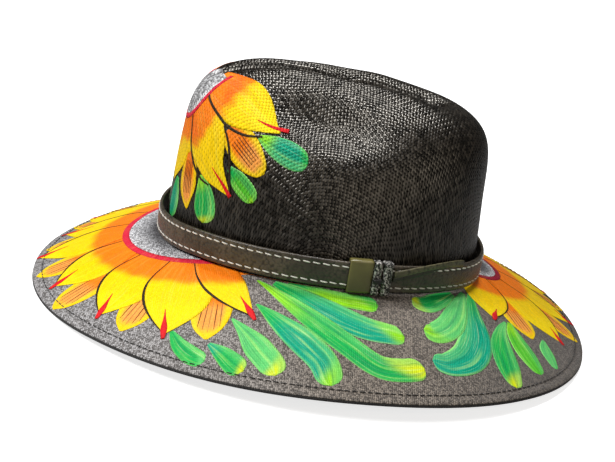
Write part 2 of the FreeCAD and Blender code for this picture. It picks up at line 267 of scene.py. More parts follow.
# Meshes ------------------------------------------------------------------------------------------


def grid_quads(rows, cols, rows_wrap, cols_wrap):
    """Corner (row, col) pairs of each quad; a wrapped side counts on past its last line."""
    r, c = np.meshgrid(np.arange(rows - 1 + rows_wrap), np.arange(cols - 1 + cols_wrap), indexing="ij")
    r, c = r.ravel(), c.ravel()
    return np.stack([r, r, r + 1, r + 1], 1), np.stack([c, c + 1, c + 1, c], 1)


class Surface:
    """Collects closed sheets of faces for one piece, with their texture places in mm and paint."""

    def __init__(self):
        self.points, self.faces, self.weave, self.stroke, self.paint = [], [], [], [], []
        self.count = 0

    def grid(self, points, weave, stroke=None, paint=None, rows_wrap=False, cols_wrap=False, caps=""):
        """Adds a rows x cols grid of points. caps: 'fan' closes both ends to a point, 'flat' with a face."""
        rows, cols = points.shape[:2]
        r, c = grid_quads(rows, cols, rows_wrap, cols_wrap)
        index = self.count + (r % rows) * cols + c % cols
        stroke = weave if stroke is None else stroke
        self.points.append(points.reshape(-1, 3))
        self.faces += index.tolist()
        self.weave.append(weave[r, c].reshape(-1, 2))
        self.stroke.append(stroke[r, c].reshape(-1, 2))
        colour = np.ones((rows * cols, 4)) if paint is None else paint.reshape(-1, 4)
        self.paint.append(colour)
        first = self.count
        self.count += rows * cols
        for row in (0, rows - 1):
            ring = [first + row * cols + k for k in range(cols)]
            if caps == "flat":
                self.face(ring, weave[row, :cols], stroke[row, :cols])
            if caps == "fan":
                middle = points[row].mean(0)
                self.points.append(middle[None])
                self.paint.append(colour[:1])
                centre = self.count
                self.count += 1
                spot = weave[row, :cols].mean(0)
                for k in range(cols):
                    n = (k + 1) % cols
                    corners = np.array([weave[row, k], weave[row, n], spot])
                    self.face([ring[k], ring[n], centre], corners, corners)
            if caps == "pairs":
                half = cols // 2
                for k in range(half - 1):
                    pick = [k, k + 1, cols - 2 - k, cols - 1 - k]
                    self.face([ring[i] for i in pick], weave[row, pick], stroke[row, pick])

    def face(self, indices, weave, stroke):
        self.faces.append(list(indices))
        self.weave.append(np.asarray(weave))
        self.stroke.append(np.asarray(stroke))

    def make(self, name, material, body, slot=None, replaces=()):
        mesh = bpy.data.meshes.new(name)
        mesh.from_pydata((np.concatenate(self.points) * MM).tolist(), [], self.faces)
        for layer, values in (("weave", self.weave), ("stroke", self.stroke)):
            uv = mesh.uv_layers.new(name=layer)
            uv.data.foreach_set("uv", np.concatenate(values).astype(np.float32).ravel())
        paint = mesh.color_attributes.new("paint", "FLOAT_COLOR", "POINT")
        paint.data.foreach_set("color", np.concatenate(self.paint).astype(np.float32).ravel())
        mesh.materials.append(material)
        work = bmesh.new()
        work.from_mesh(mesh)
        bmesh.ops.recalc_face_normals(work, faces=work.faces)
        work.to_mesh(mesh)
        work.free()
        mesh.polygons.foreach_set("use_smooth", [True] * len(mesh.polygons))
        piece = bpy.data.objects.new(name, mesh)
        bpy.context.scene.collection.objects.link(piece)
        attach(piece, body)
        if replaces:
            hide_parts(*replaces)


def round_box(a0, a1, b0, b1, radius, per_corner=5, per_side=6):
    """A rounded rectangle, counter-clockwise, the same number of points whatever its size."""
    points = []
    corners = ((a1, b0, -90.0), (a1, b1, 0.0), (a0, b1, 90.0), (a0, b0, 180.0))
    for k, (a, b, start) in enumerate(corners):
        ca = a - math.copysign(radius, a - (a0 + a1) / 2)
        cb = b - math.copysign(radius, b - (b0 + b1) / 2)
        for i in range(per_corner):
            angle = math.radians(start + 90.0 * i / (per_corner - 1))
            points.append((ca + radius * math.cos(angle), cb + radius * math.sin(angle)))
        na, nb, turn = corners[(k + 1) % 4]
        na -= math.copysign(radius, na - (a0 + a1) / 2)
        nb -= math.copysign(radius, nb - (b0 + b1) / 2)
        angle = math.radians(turn)
        end = (na + radius * math.cos(angle), nb + radius * math.sin(angle))
        last = points[-1]
        for i in range(1, per_side):
            t = i / per_side
            points.append((last[0] + (end[0] - last[0]) * t, last[1] + (end[1] - last[1]) * t))
    return np.array(points)


def lengths(points):
    """Distance along a line of points, starting at 0."""
    return np.concatenate([[0.0], np.cumsum(np.linalg.norm(np.diff(points, axis=0), axis=-1))])


def girth(section):
    """Distances along a closed line of points; the last one is its whole length."""
    return lengths(np.concatenate([section, section[:1]]))


def pairs(a, b):
    """Two arrays spread over one grid and put side by side as its last axis."""
    return np.stack(np.broadcast_arrays(a, b), -1)


def ring_of(place, section, around=720):
    """A closed ring: section is a closed line of (a, b), and place(phi, a, b) puts it round the hat."""
    surface = Surface()
    phi = np.linspace(0.0, 360.0, around, endpoint=False)
    a, b = section[:, 0], section[:, 1]
    points = place(phi[None, :], a[:, None], b[:, None])
    across = girth(section)
    along = np.linspace(0.0, 2 * math.pi * 95.0, around + 1)
    weave = pairs(along[None, :], across[:, None])
    surface.grid(points, weave, rows_wrap=True, cols_wrap=True)
    return surface


# Materials ---------------------------------------------------------------------------------------


def srgb(red, green, blue):
    """Linear colour of an sRGB colour given in 0 to 255."""
    value = np.array([red, green, blue]) / 255.0
    return np.where(value <= 0.04045, value / 12.92, ((value + 0.055) / 1.055) ** 2.4)


class Tree:
    """A small helper that builds one node material."""

    def __init__(self, name):
        self.material = bpy.data.materials.new(name)
        self.material.use_nodes = True
        self.nodes = self.material.node_tree.nodes
        self.links = self.material.node_tree.links
        self.surface = self.nodes["Principled BSDF"]

    def put(self, socket, value):
        if isinstance(value, bpy.types.NodeSocket):
            self.links.new(value, socket)
        elif hasattr(value, "__len__") and len(value) == 3 and socket.type == "RGBA":
            socket.default_value = (*[float(v) for v in value], 1.0)
        else:
            socket.default_value = value

    def node(self, kind, inputs, output=0, **settings):
        node = self.nodes.new(kind)
        for key, value in settings.items():
            setattr(node, key, value)
        for key, value in inputs.items():
            self.put(node.inputs[key], value)
        return node.outputs[output]

    def calc(self, operation, a, b=0.0, c=0.0):
        return self.node("ShaderNodeMath", {0: a, 1: b, 2: c}, operation=operation)

    def times(self, a, b):
        return self.calc("MULTIPLY", a, b)

    def scaled(self, value, factor, plus):
        return self.calc("MULTIPLY_ADD", value, factor, plus)

    def vector(self, operation, a, b=(0.0, 0.0, 0.0), c=(0.0, 0.0, 0.0), output=0):
        return self.node("ShaderNodeVectorMath", {0: a, 1: b, 2: c}, output, operation=operation)

    def paint(self, output=0):
        return self.node("ShaderNodeVertexColor", {}, output, layer_name="paint")

    def uv(self, name):
        return self.node("ShaderNodeUVMap", {}, uv_map=name)

    def mix(self, factor, a, b):
        return self.node("ShaderNodeMix", {0: factor, 6: a, 7: b}, 2, data_type="RGBA")

    def span(self, value, low, high, to_low=0.0, to_high=1.0):
        inputs = {0: value, 1: low, 2: high, 3: to_low, 4: to_high}
        return self.node("ShaderNodeMapRange", inputs, interpolation_type="SMOOTHSTEP")

    def noise(self, vector, scale, detail=3.0, rough=0.55):
        inputs = {"Vector": vector, "Scale": scale, "Detail": detail, "Roughness": rough}
        return self.node("ShaderNodeTexNoise", inputs)

    def stretch(self, vector, x, y, z=1.0):
        return self.vector("MULTIPLY", vector, (x, y, z))

    def bump(self, height, depth_mm, strength=1.0, base=None):
        inputs = {"Height": height, "Strength": strength, "Distance": depth_mm * MM}
        if base is not None:
            inputs["Normal"] = base
        return self.node("ShaderNodeBump", inputs)

    def here(self):
        return self.node("ShaderNodeTexCoord", {}, 3)

    def finish(self, **inputs):
        for key, value in inputs.items():
            self.put(self.surface.inputs[key.replace("_", " ")], value)
        return self.material


def weave_nodes(tree, pitch, wander):
    """Height of a plain weave, and a random number for each of its crossings."""
    uv = tree.uv("weave")
    drift = tree.node("ShaderNodeTexNoise", {"Vector": uv, "Scale": 0.045, "Detail": 1.0}, 1)
    drift = tree.vector("SUBTRACT", drift, (0.5, 0.5, 0.5))
    place = tree.vector("MULTIPLY_ADD", drift, (wander,) * 3, uv)
    place = tree.stretch(place, 1.0 / pitch, 1.0 / pitch)
    split = tree.nodes.new("ShaderNodeSeparateXYZ")
    tree.put(split.inputs[0], place)
    a, b = split.outputs[0], split.outputs[1]
    humps, waves = [], []
    for side in (a, b):
        part = tree.scaled(tree.calc("FRACT", side), 2.0, -1.0)
        humps.append(tree.calc("SUBTRACT", 1.0, tree.times(part, part)))
        waves.append(tree.calc("SINE", tree.times(side, math.pi)))
    cross = tree.times(tree.times(waves[0], waves[1]), 0.4)
    warp = tree.scaled(humps[0], 0.6, cross)
    weft = tree.calc("SUBTRACT", tree.times(humps[1], 0.6), cross)
    height = tree.calc("MAXIMUM", warp, weft)
    cell = tree.vector("FLOOR", place)
    random = tree.node("ShaderNodeTexWhiteNoise", {"Vector": cell}, noise_dimensions="2D")
    return height, random


def crown_cloth():
    """Coarse plain weave of dark lacquered yarn."""
    tree = Tree("crown_cloth")
    height, random = weave_nodes(tree, CROWN_PITCH, CROWN_WANDER)
    patches = tree.noise(tree.uv("weave"), 0.03, 2.0)
    yarn = tree.mix(tree.times(random, patches), srgb(12, 10, 8), srgb(46, 38, 28))
    hole = tree.span(height, 0.22, 0.55)
    colour = tree.mix(hole, srgb(2, 2, 2), yarn)
    rough = tree.scaled(random, 0.12, 0.24)
    shine = tree.times(hole, tree.scaled(random, 0.9, 0.4))
    tint = tuple(srgb(255, 249, 238)) + (1.0,)
    surface = {"Base_Color": colour, "Roughness": rough, "Normal": tree.bump(height, 0.3)}
    return tree.finish(Specular_IOR_Level=shine, Specular_Tint=tint, **surface)


def speckle(tree, random):
    """Salt and pepper at the size of a thread."""
    grain = tree.noise(tree.uv("weave"), 1.2, 1.0)
    mixed_grain = tree.scaled(random, 0.35, grain)
    return tree.span(mixed_grain, 0.52, 0.86)


def brim_cloth():
    """Fine canvas with a salt-and-pepper sparkle of painted glints, its colour painted lighter towards the
    front and darker towards the back as painted light and shade.
    """
    tree = Tree("brim_cloth")
    height, random = weave_nodes(tree, BRIM_PITCH, BRIM_WANDER)
    # Painted highlights: threads scattered at random are lighter, standing in for glints.
    yarn = tree.mix(speckle(tree, random), srgb(70, 65, 62), srgb(146, 141, 138))
    # Painted light and shade: the colour is lifted towards the front, which faces the key lamp, and darkened
    # towards the back, which faces away.
    split = tree.nodes.new("ShaderNodeSeparateXYZ")
    tree.put(split.inputs[0], tree.here())
    front = tree.span(split.outputs[1], 0.03, -0.13)
    tint = tree.mix(front, (0.92, 0.84, 0.72), (1.5, 1.58, 1.68))
    tint = tree.mix(tree.span(split.outputs[1], 0.05, 0.14), tint, (0.52, 0.47, 0.41))
    yarn = tree.vector("MULTIPLY", yarn, tint)
    colour = tree.mix(tree.span(height, 0.1, 0.5), srgb(14, 12, 12), yarn)
    normal = tree.bump(height, 0.35)
    return tree.finish(Base_Color=colour, Roughness=0.5, Normal=normal, Sheen_Weight=0.2, Sheen_Roughness=0.4)


def dusted_cloth(name, pitch):
    """Grey paint brushed so dry that it catches only the tops of the weave."""
    tree = Tree(name)
    height, random = weave_nodes(tree, pitch, 0.8)
    paint = tree.paint()
    caught = tree.times(speckle(tree, random), tree.span(height, 0.1, 0.5))
    colour = tree.mix(tree.scaled(caught, 0.8, 0.2), srgb(40, 38, 40), paint)
    return tree.finish(Base_Color=colour, Roughness=0.6, Normal=tree.bump(height, pitch * 0.4))


def lining_cloth(name, colour):
    """Plain dark cotton."""
    tree = Tree(name)
    height, random = weave_nodes(tree, 0.8, 0.4)
    shade = tree.mix(tree.times(random, height), srgb(*colour) * 0.45, srgb(*colour))
    normal = tree.bump(height, 0.25)
    return tree.finish(Base_Color=shade, Roughness=0.7, Normal=normal, Sheen_Weight=0.2)


def paint_coat(name, pitch, weave_depth, hole_share, wander):
    """Acrylic paint over the weave; its alpha says how strongly the brush streaks show."""
    tree = Tree(name)
    height, random = weave_nodes(tree, pitch, wander)
    paint = tree.paint()
    streak_share = tree.paint(1)
    lines = tree.noise(tree.stretch(tree.uv("stroke"), 0.03, 1.15), 1.0, 4.0, 0.6)
    light = tree.times(tree.span(lines, 0.54, 0.72), streak_share)
    deep = tree.times(tree.span(lines, 0.46, 0.28), streak_share)
    broad = tree.noise(tree.stretch(tree.uv("stroke"), 0.02, 0.3), 1.0, 2.0)
    pale_side = tree.times(tree.span(broad, 0.5, 0.72, 0.0, 0.45), streak_share)
    deep_side = tree.times(tree.span(broad, 0.5, 0.3, 0.0, 0.45), streak_share)
    paint = tree.mix(pale_side, paint, srgb(176, 232, 120))
    paint = tree.mix(deep_side, paint, srgb(0, 118, 84))
    bright = tree.mix(0.55, paint, srgb(235, 250, 190))
    shade = tree.vector("MULTIPLY", paint, (0.45, 0.62, 0.6))
    colour = tree.mix(tree.times(light, 0.55), paint, bright)
    colour = tree.mix(tree.times(deep, 0.8), colour, shade)
    grain = tree.scaled(random, 0.16, 0.92)
    # The paint is made darker down in the weave's holes.
    darker_in_holes = tree.span(height, 0.05, 0.4, 1.0 - hole_share, 1.0)
    factor = tree.times(darker_in_holes, grain)
    colour = tree.vector("MULTIPLY", colour, factor)
    normal = tree.bump(height, weave_depth)
    normal = tree.bump(lines, 0.12, 0.6, normal)
    return tree.finish(Base_Color=colour, Roughness=0.45, Normal=normal, Specular_IOR_Level=0.12)


def leather(name, colour, rough, pebble_mm, pebble_depth):
    """Grained leather with a thin wax coat."""
    tree = Tree(name)
    where = tree.here()
    cells = {"Vector": where, "Scale": 1.0 / (pebble_mm * MM), "Randomness": 1.0}
    pebble = tree.node("ShaderNodeTexVoronoi", cells, 0, feature="SMOOTH_F1")
    fine = tree.noise(where, 2600.0, 3.0)
    cloud = tree.noise(where, 60.0, 3.0)
    height = tree.calc("SUBTRACT", tree.times(fine, 0.35), pebble)
    shade = tree.mix(tree.span(cloud, 0.3, 0.7), srgb(*colour) * 0.6, srgb(*colour) * 1.3)
    shade = tree.mix(tree.span(pebble, 0.35, 0.75), shade, srgb(*colour) * 0.35)
    roughness = tree.scaled(cloud, 0.15, rough - 0.07)
    coat = {"Coat_Weight": 0.12, "Coat_Roughness": 0.2}
    return tree.finish(Base_Color=shade, Roughness=roughness, Normal=tree.bump(height, pebble_depth), **coat)


def polished_leather(name, colour):
    """Smooth waxed leather, painted lighter towards its top and darker towards its lower edge as painted
    light and shade.
    """
    tree = Tree(name)
    cloud = tree.noise(tree.here(), 90.0, 2.0)
    # Painted light: the colour grows lighter with height, as if lit from above, and darker towards the lower
    # edge as painted shade.
    split = tree.nodes.new("ShaderNodeSeparateXYZ")
    tree.put(split.inputs[0], tree.here())
    rise = tree.span(split.outputs[2], 0.003, 0.022)
    shade = tree.mix(tree.times(rise, cloud), srgb(*colour) * 0.62, srgb(*colour) * 1.9)
    grain = tree.noise(tree.here(), 1500.0, 3.0)
    normal = tree.bump(grain, 0.05)
    return tree.finish(Base_Color=shade, Roughness=0.34, Normal=normal, Coat_Weight=0.5, Coat_Roughness=0.18)


def foil_lace():
    """Crinkled black lace with silvery glints."""
    tree = Tree("foil_lace")
    where = tree.here()
    crinkle = tree.noise(where, 700.0, 4.0, 0.7)
    glint = tree.span(crinkle, 0.48, 0.62)
    colour = tree.mix(glint, srgb(20, 19, 18), srgb(225, 222, 216))
    rough = tree.scaled(glint, -0.15, 0.4)
    metal = tree.times(glint, 0.5)
    return tree.finish(Base_Color=colour, Roughness=rough, Normal=tree.bump(crinkle, 0.8), Metallic=metal)


def thread(name, colour):
    """Twisted sewing thread."""
    tree = Tree(name)
    lay = tree.vector("DOT_PRODUCT", tree.uv("stroke"), (1.0, 1.0, 0.0), output=1)
    wave = tree.calc("SINE", tree.times(lay, 7.0))
    shade = tree.mix(tree.span(wave, -1.0, 0.4), srgb(*colour) * 0.45, srgb(*colour))
    return tree.finish(Base_Color=shade, Roughness=0.6, Normal=tree.bump(wave, 0.08), Sheen_Weight=0.2)


def steel():
    """Drawn steel wire, with its grain along the wire."""
    tree = Tree("brim_steel")
    grain = tree.noise(tree.stretch(tree.uv("weave"), 0.3, 6.0), 1.0, 3.0)
    colour = tree.mix(grain, srgb(120, 122, 126), srgb(176, 178, 182))
    rough = tree.scaled(grain, 0.2, 0.22)
    return tree.finish(Base_Color=colour, Roughness=rough, Metallic=1.0, Normal=tree.bump(grain, 0.05))


def studio():
    """Pale floor; it glows only towards the camera, so that it stays pale without lighting the hat."""
    tree = Tree("studio")
    cloud = tree.noise(tree.here(), 1.5, 2.0)
    seen = tree.node("ShaderNodeLightPath", {})
    bright = tree.mix(cloud, srgb(224, 224, 224), srgb(230, 230, 230))
    colour = tree.mix(seen, srgb(128, 128, 128), bright)
    glow = tree.times(seen, 0.75)
    light = {"Emission_Color": (1.0, 1.0, 1.0), "Emission_Strength": glow}
    return tree.finish(Base_Color=colour, Roughness=0.9, **light)


# Cloth and leather pieces ------------------------------------------------------------------------


def make_crown():
    surface = Surface()
    around = 480
    phi = np.linspace(-180.0, 180.0, around + 1)
    steps = np.concatenate([np.linspace(0.995, 0.66, 50), np.linspace(0.655, 0.0, 110)])
    rows = [crown_face(phi, step) for step in steps]
    places = [drape(phi, step) for step in steps]
    skirt = ((0.0, 2.5), (0.0, 5.5), (0.0, CROWN_SKIRT), (-CROWN_WALL, CROWN_SKIRT), (-CROWN_WALL, 4.0))
    for out, down in skirt:
        rows.append(wall_point(phi, out, -down))
        places.append(drape(phi, -down / CHART_TALL))
    for step in np.linspace(0.0, 0.99, 56):
        rows.append(crown_face(phi, step, CROWN_WALL))
        places.append(drape(phi, step))
    surface.grid(np.array(rows)[:, :around], np.array(places), cols_wrap=True, caps="fan")
    surface.make("crown_woven", crown_cloth(), "hat", "crown_cloth", ["crown"])


def planar(surface_points):
    return surface_points[..., :2]


def make_sheet(name, outs, upper, lower, material, slot, node, around=720):
    """A brim cloth: a closed ring whose edge is rounded over."""
    surface = Surface()
    phi = np.linspace(0.0, 360.0, around + 1)
    middle, half = (upper + lower) / 2, (lower - upper) / 2
    section = [(out, upper) for out in outs]
    for turn in np.linspace(0.5, 2.64, 4):
        section.append((outs[-1] + half * math.sin(turn), middle - half * math.cos(turn)))
    section += [(out, lower) for out in outs[::-1][::2]]
    a, b = np.array(section).T
    points = brim_face(phi[None, :], a[:, None], b[:, None])
    surface.grid(points[:, :around], planar(points), cols_wrap=True)
    last, first = planar(points[-1]), planar(points[0])
    last_row = (len(section) - 1) * around
    for k in range(around):
        n = (k + 1) % around
        strip = [last[k], last[k + 1], first[k + 1], first[k]]
        surface.face([last_row + k, last_row + n, n, k], strip, strip)
    surface.make(name, material, "hat", slot, [node])


def make_brim():
    edge = np.linspace(70.8, BRIM_WIDTH - 0.35, 16)
    outs = np.concatenate([[BRIM_START], np.linspace(1.5, 70.0, 52), edge])
    make_sheet("brim_top_cloth", outs, 0.0, CLOTH, brim_cloth(), "brim_cloth", "brim_upper")
    outs = np.linspace(BRIM_START, 76.3, 40)
    lining = lining_cloth("brim_lining", (34, 32, 32))
    upper, lower = CLOTH + 0.05, 2 * CLOTH + 0.05
    make_sheet("brim_lining_cloth", outs, upper, lower, lining, "brim_lining", "brim_lower")
    turn = np.radians(np.arange(0, 360, 30))
    wire = np.stack([WIRE_OUT + WIRE_RADIUS * np.cos(turn), WIRE_UNDER + WIRE_RADIUS * np.sin(turn)], -1)
    ring_of(brim_face, wire).make("brim_wire_ring", steel(), "hat", "wire", ["brim_wire"])
    cloth = lining_cloth("hem_cloth", (30, 27, 26))
    ring_of(brim_face, hem_section()).make("brim_hem_roll", cloth, "hat", "brim_hem", ["brim_hem"])


def hem_section():
    """The turned strip: round over the rim, under the wire and back below the cloth."""
    outer = [(79.4, 0.75), (79.55, 1.2), (79.5, 1.8), (79.25, 2.35), (78.7, 2.78), (77.9, 2.9)]
    outer += [(76.8, 2.86), (75.8, 2.75), (74.5, 2.5), (73.0, 2.25), (71.5, 2.12), (70.6, 2.1), (70.4, 1.85)]
    inner = [(70.5, 1.55), (72.5, 1.52), (74.5, 1.75), (75.8, 2.2), (76.8, 2.3), (78.0, 2.3), (78.6, 2.2)]
    inner += [(78.82, 1.8), (78.85, 1.2), (78.85, 0.78), (79.1, 0.72)]
    return np.array(outer + inner)


def make_sweatband():
    """The leather band inside the opening, leaning in towards its upper edge."""
    low, high = SWEATBAND_LOW_OUT, SWEATBAND_HIGH_OUT
    line = np.linspace(0.0, 1.0, 14)
    out = low + (high - low) * line
    z = SWEATBAND_BOTTOM + SWEATBAND_HEIGHT * line
    inner = np.stack([out - SWEATBAND_WALL, z], -1)[::-1]
    top = [(high - 0.3, 24.35), (high - 0.85, 24.3)]
    bottom = [(low - 0.85, -7.85), (low - 0.3, -7.85)]
    section = np.concatenate([np.stack([out, z], -1), top, inner, bottom])
    hide = leather("sweat_leather", (48, 40, 35), 0.5, 0.7, 0.12)
    ring_of(wall_point, section, 480).make("sweatband_leather", hide, "hat", "sweatband", ["sweatband"])


def band_section():
    """The strap's section: soft edges, a raised middle and a groove along each seam."""
    loop = round_box(BAND_BACK, BAND_FACE, 0.0, BAND_HEIGHT, 0.7, 5, 30)
    z = loop[:, 1]
    on_face = loop[:, 0] > BAND_FACE - 0.05
    swell = 0.30 * np.sin(math.pi * z / BAND_HEIGHT)
    for seam in (BAND_SEAM_IN, BAND_HEIGHT - BAND_SEAM_IN):
        swell = swell - 0.30 * np.exp(-(((z - seam) / 0.6) ** 2))
    loop[:, 0] += np.where(on_face, swell, 0.0)
    return loop


def make_hatband():
    """The strap runs round the crown and its ends meet under the keeper."""
    surface = Surface()
    half_gap = 0.30
    phi = np.linspace(KEEPER_PHI + half_gap, KEEPER_PHI + 360.0 - half_gap, 620)
    section = band_section()
    points = band_point(phi[:, None], section[None, :, 0], section[None, :, 1])
    across = girth(section)
    along = lengths(points[:, 0])
    weave = pairs(along[:, None], across[None, :])
    surface.grid(points, weave, cols_wrap=True, caps="flat")
    hide = leather("band_leather", (74, 66, 54), 0.38, 1.5, 0.3)
    surface.make("band_strap", hide, "hat", "band_leather", ["hatband"])


def stitch_row(surface, line, normals, period, length, radius, lean):
    """Capsules laid along a closed line of points, one per period."""
    run = girth(line)
    count = int(round(run[-1] / period))
    for k in range(count):
        at = run[-1] * (k + 0.5) / count
        pick = int(np.searchsorted(run, at)) % len(line)
        after = line[(pick + 3) % len(line)] - line[pick - 3]
        tangent = after / np.linalg.norm(after)
        normal = normals[pick]
        side = np.cross(normal, tangent)
        tangent = tangent * math.cos(lean) + side * math.sin(lean)
        side = np.cross(normal, tangent)
        t = np.linspace(-1.0, 1.0, 9)[:, None]
        taper = np.maximum(0.12, np.sqrt(np.maximum(0.0, 1 - np.abs(t) ** 5)))
        angle = np.radians(np.arange(0, 360, 45))[None, :]
        dip = (1 - t * t) * 0.25 * radius - 0.55 * radius * np.abs(t) ** 4
        centre = line[pick] + (tangent * t * length / 2 + normal * dip)
        ring = side[None, None] * (np.cos(angle) * taper * radius)[..., None]
        ring = ring + normal[None, None] * (np.sin(angle) * taper * radius)[..., None]
        points = centre[:, None, :] + ring
        spots = pairs(t * length / 2, np.arange(9)[None, :] * 0.3)
        surface.grid(points, spots, cols_wrap=True, caps="flat")


def sew(name, place, material, slot, node, period, length, radius, lean=0.0):
    """A row of stitches along place(phi, lift)."""
    phi = np.linspace(0.0, 360.0, 2400, endpoint=False)
    line = place(phi, 0.0)
    normals = place(phi, 0.5) - line
    normals /= np.linalg.norm(normals, axis=-1, keepdims=True)
    surface = Surface()
    stitch_row(surface, line, normals, period, length, radius, lean)
    surface.make(name, material, "hat", slot, [node])


def make_stitches():
    white = thread("white_thread", (246, 242, 232))
    dark = thread("dark_thread", (30, 27, 26))

    def seam(height):
        return lambda phi, lift: band_point(phi, BAND_FACE + 0.08 + lift, height)

    for side, height in (("upper", BAND_HEIGHT - BAND_SEAM_IN), ("lower", BAND_SEAM_IN)):
        node = "hatband_stitch_" + side
        sew("band_stitches_" + side, seam(height), white, "white_thread", node, 5.75, 4.7, 0.46, -0.1)

    def edge(phi, lift):
        return brim_face(phi, TOPSTITCH_OUT, -0.42 - lift)

    sew("brim_stitches", edge, dark, "dark_thread", "brim_topstitch", 4.4, 3.5, 0.3)

    def inside(phi, lift):
        return wall_point(phi, SWEATBAND_LOW_OUT - 0.32 - SWEATBAND_WALL - 0.1 - lift, SWEATBAND_SEAM)

    sew("sweatband_stitches", inside, dark, "dark_thread", "sweatband_stitch", 4.0, 3.2, 0.28)


# Keeper and lace ---------------------------------------------------------------------------------


def sleeve(name, phi, half, wall, under, bulge, crinkle, seed, material, body, slot, node):
    """A loop round the strap: outer and inner rounded boxes joined by a section with soft lips.

    bulge runs from 0 for a flat loop to 1 for a round cord, and crinkle is the depth of its wrinkles.
    """
    bottom, top = -under, BAND_HEIGHT + SLEEVE_OVER
    inner = round_box(SLEEVE_BACK + SLEEVE_WALL, SLEEVE_FACE, bottom, top, 0.4, 6, 14)
    outer = round_box(SLEEVE_BACK, SLEEVE_FACE + wall, bottom - SLEEVE_EDGE, top + SLEEVE_EDGE, 1.3, 6, 14)
    w = np.linspace(-1.0, 1.0, 19)
    lip = 1.0 - 0.35 * np.abs(w) ** 9
    rope = 0.30 + 0.70 * np.sqrt(np.maximum(0.0, 1.0 - np.abs(w) ** 2.6))
    out_share = lip * (1 - bulge) + rope * bulge
    section = np.concatenate([np.stack([w, out_share], -1), np.stack([w[::-1] * 0.985, np.zeros(19)], -1)])
    share = section[None, :, 1]
    loop = inner[:, None, :] * (1 - share[..., None]) + outer[:, None, :] * share[..., None]
    random = np.random.default_rng(seed)
    rough = random.normal(0.0, 1.0, (len(inner), len(section)))
    rough = (rough + np.roll(rough, 1, 0) + np.roll(rough, -1, 0) + np.roll(rough, 1, 1)) / 2.0
    direction = outer - inner
    direction = direction / np.linalg.norm(direction, axis=-1, keepdims=True)
    loop = loop - direction[:, None, :] * (np.abs(rough) * crinkle * (share > 0.2))[..., None]
    angle = phi + section[None, :, 0] * half
    x, y = plan(angle, loop[..., 0])
    points = np.stack([x, y, saddle(phi) + loop[..., 1]], -1)
    weave = pairs(girth(outer)[:, None], girth(section * [half * 1.9, 1.0])[None, :])
    surface = Surface()
    surface.grid(points, weave, rows_wrap=True, cols_wrap=True)
    surface.make(name, material, body, slot, [node])


def make_bar(material):
    """The short dark bar across the face of the first lace turn."""
    surface = Surface()
    back = SLEEVE_FACE + LACE_FRONT_WALL + 0.05
    section = round_box(back, back + BAR_THICK, BAR_BOTTOM, BAR_TOP, 0.75, 5, 4)
    middle = section.mean(0)
    phi = np.linspace(BAR_FROM, BAR_TO, 13)
    t = np.linspace(-1.0, 1.0, 13)
    taper = np.maximum(0.55, (1 - np.abs(t) ** 6) ** 0.5)
    loop = middle + (section[None] - middle) * taper[:, None, None]
    x, y = plan(phi[:, None], loop[..., 0])
    points = np.stack([x, y, loop[..., 1]], -1)
    across = girth(section)
    weave = pairs((t * 2.6)[:, None], across[None, :])
    surface.grid(points, weave, cols_wrap=True, caps="flat")
    surface.make("lace_bar", material, "lace_knot", "lace_leather", ["lace_knot_bar"])


def make_tail(name, back, low, rise, arch, end, widths, twist, material, body, node):
    """A flat lace end that leaves the knot and climbs along the strap."""
    surface = Surface()
    t = np.linspace(0.0, 1.0, 60)
    phi = TAIL_ROOT + (end - TAIL_ROOT) * t
    centre = saddle(TAIL_ROOT) + low + rise * np.sin(math.radians(arch) * t)
    width = np.interp(t, np.linspace(0.0, 1.0, len(widths)), widths)
    section = round_box(-TAIL_THICK / 2, TAIL_THICK / 2, -0.5, 0.5, 0.02, 2, 9)
    edge = 1.0 - 0.45 * np.abs(section[:, 1] * 2) ** 8
    lean = twist * np.sin(math.pi * t)[:, None]
    a = section[None, :, 0] * edge[None, :]
    b = section[None, :, 1] * width[:, None]
    out = back + TAIL_THICK / 2 + a * np.cos(lean) + b * np.sin(lean)
    z = centre[:, None] - a * np.sin(lean) + b * np.cos(lean)
    x, y = plan(phi[:, None], out)
    points = np.stack([x, y, z], -1)
    weave = pairs(lengths(points[:, 0])[:, None], girth(section * [1.0, widths[0]])[None, :])
    surface.grid(points, weave, cols_wrap=True, caps="flat")
    surface.make(name, material, body, "lace_leather", [node])


# Lace turns: name, phi, half width, wall and seed.
LACE_TURNS = (("front", 105.1, 1.15, LACE_FRONT_WALL, 7), ("rear", 108.2, 1.45, 2.4, 8))
# Lace ends: distance out, height at the root, rise, arch and last phi; the widths along it; the twist.
UPPER_TAIL = (6.4, 12.45, 4.45, 135.0, 136.0, (4.1, 3.7, 3.4, 3.8, 4.2), 0.10)
LOWER_TAIL = (4.95, 8.55, 13.4, 30.0, 127.0, (2.6, 3.0, 3.1, 3.0, 2.4), -0.05)


def make_riders():
    """The keeper and the lace, which slide on the strap."""
    olive = polished_leather("keeper_leather", (96, 90, 46))
    keeper = ("keeper_loop", KEEPER_PHI, KEEPER_HALF, KEEPER_WALL, KEEPER_UNDER, 0.0, 0.0, 1)
    sleeve(*keeper, olive, "keeper", "keeper_leather", "keeper")
    foil = foil_lace()
    for side, phi, half, wall, seed in LACE_TURNS:
        turn = ("lace_turn_" + side, phi, half, wall, LACE_UNDER, 1.0, 0.16, seed)
        sleeve(*turn, foil, "lace_knot", "lace_leather", "lace_wrap_" + side)
    dark = leather("lace_dark", (50, 48, 34), 0.38, 0.9, 0.12)
    make_bar(leather("bar_leather", (18, 17, 16), 0.45, 0.9, 0.12))
    strap = leather("lace_olive", (88, 84, 60), 0.34, 1.6, 0.10)
    make_tail("lace_end_upper", *UPPER_TAIL, strap, "upper_tail", "lace_tail_upper")
    make_tail("lace_end_lower", *LOWER_TAIL, dark, "lower_tail", "lace_tail_lower")


# Painting ----------------------------------------------------------------------------------------

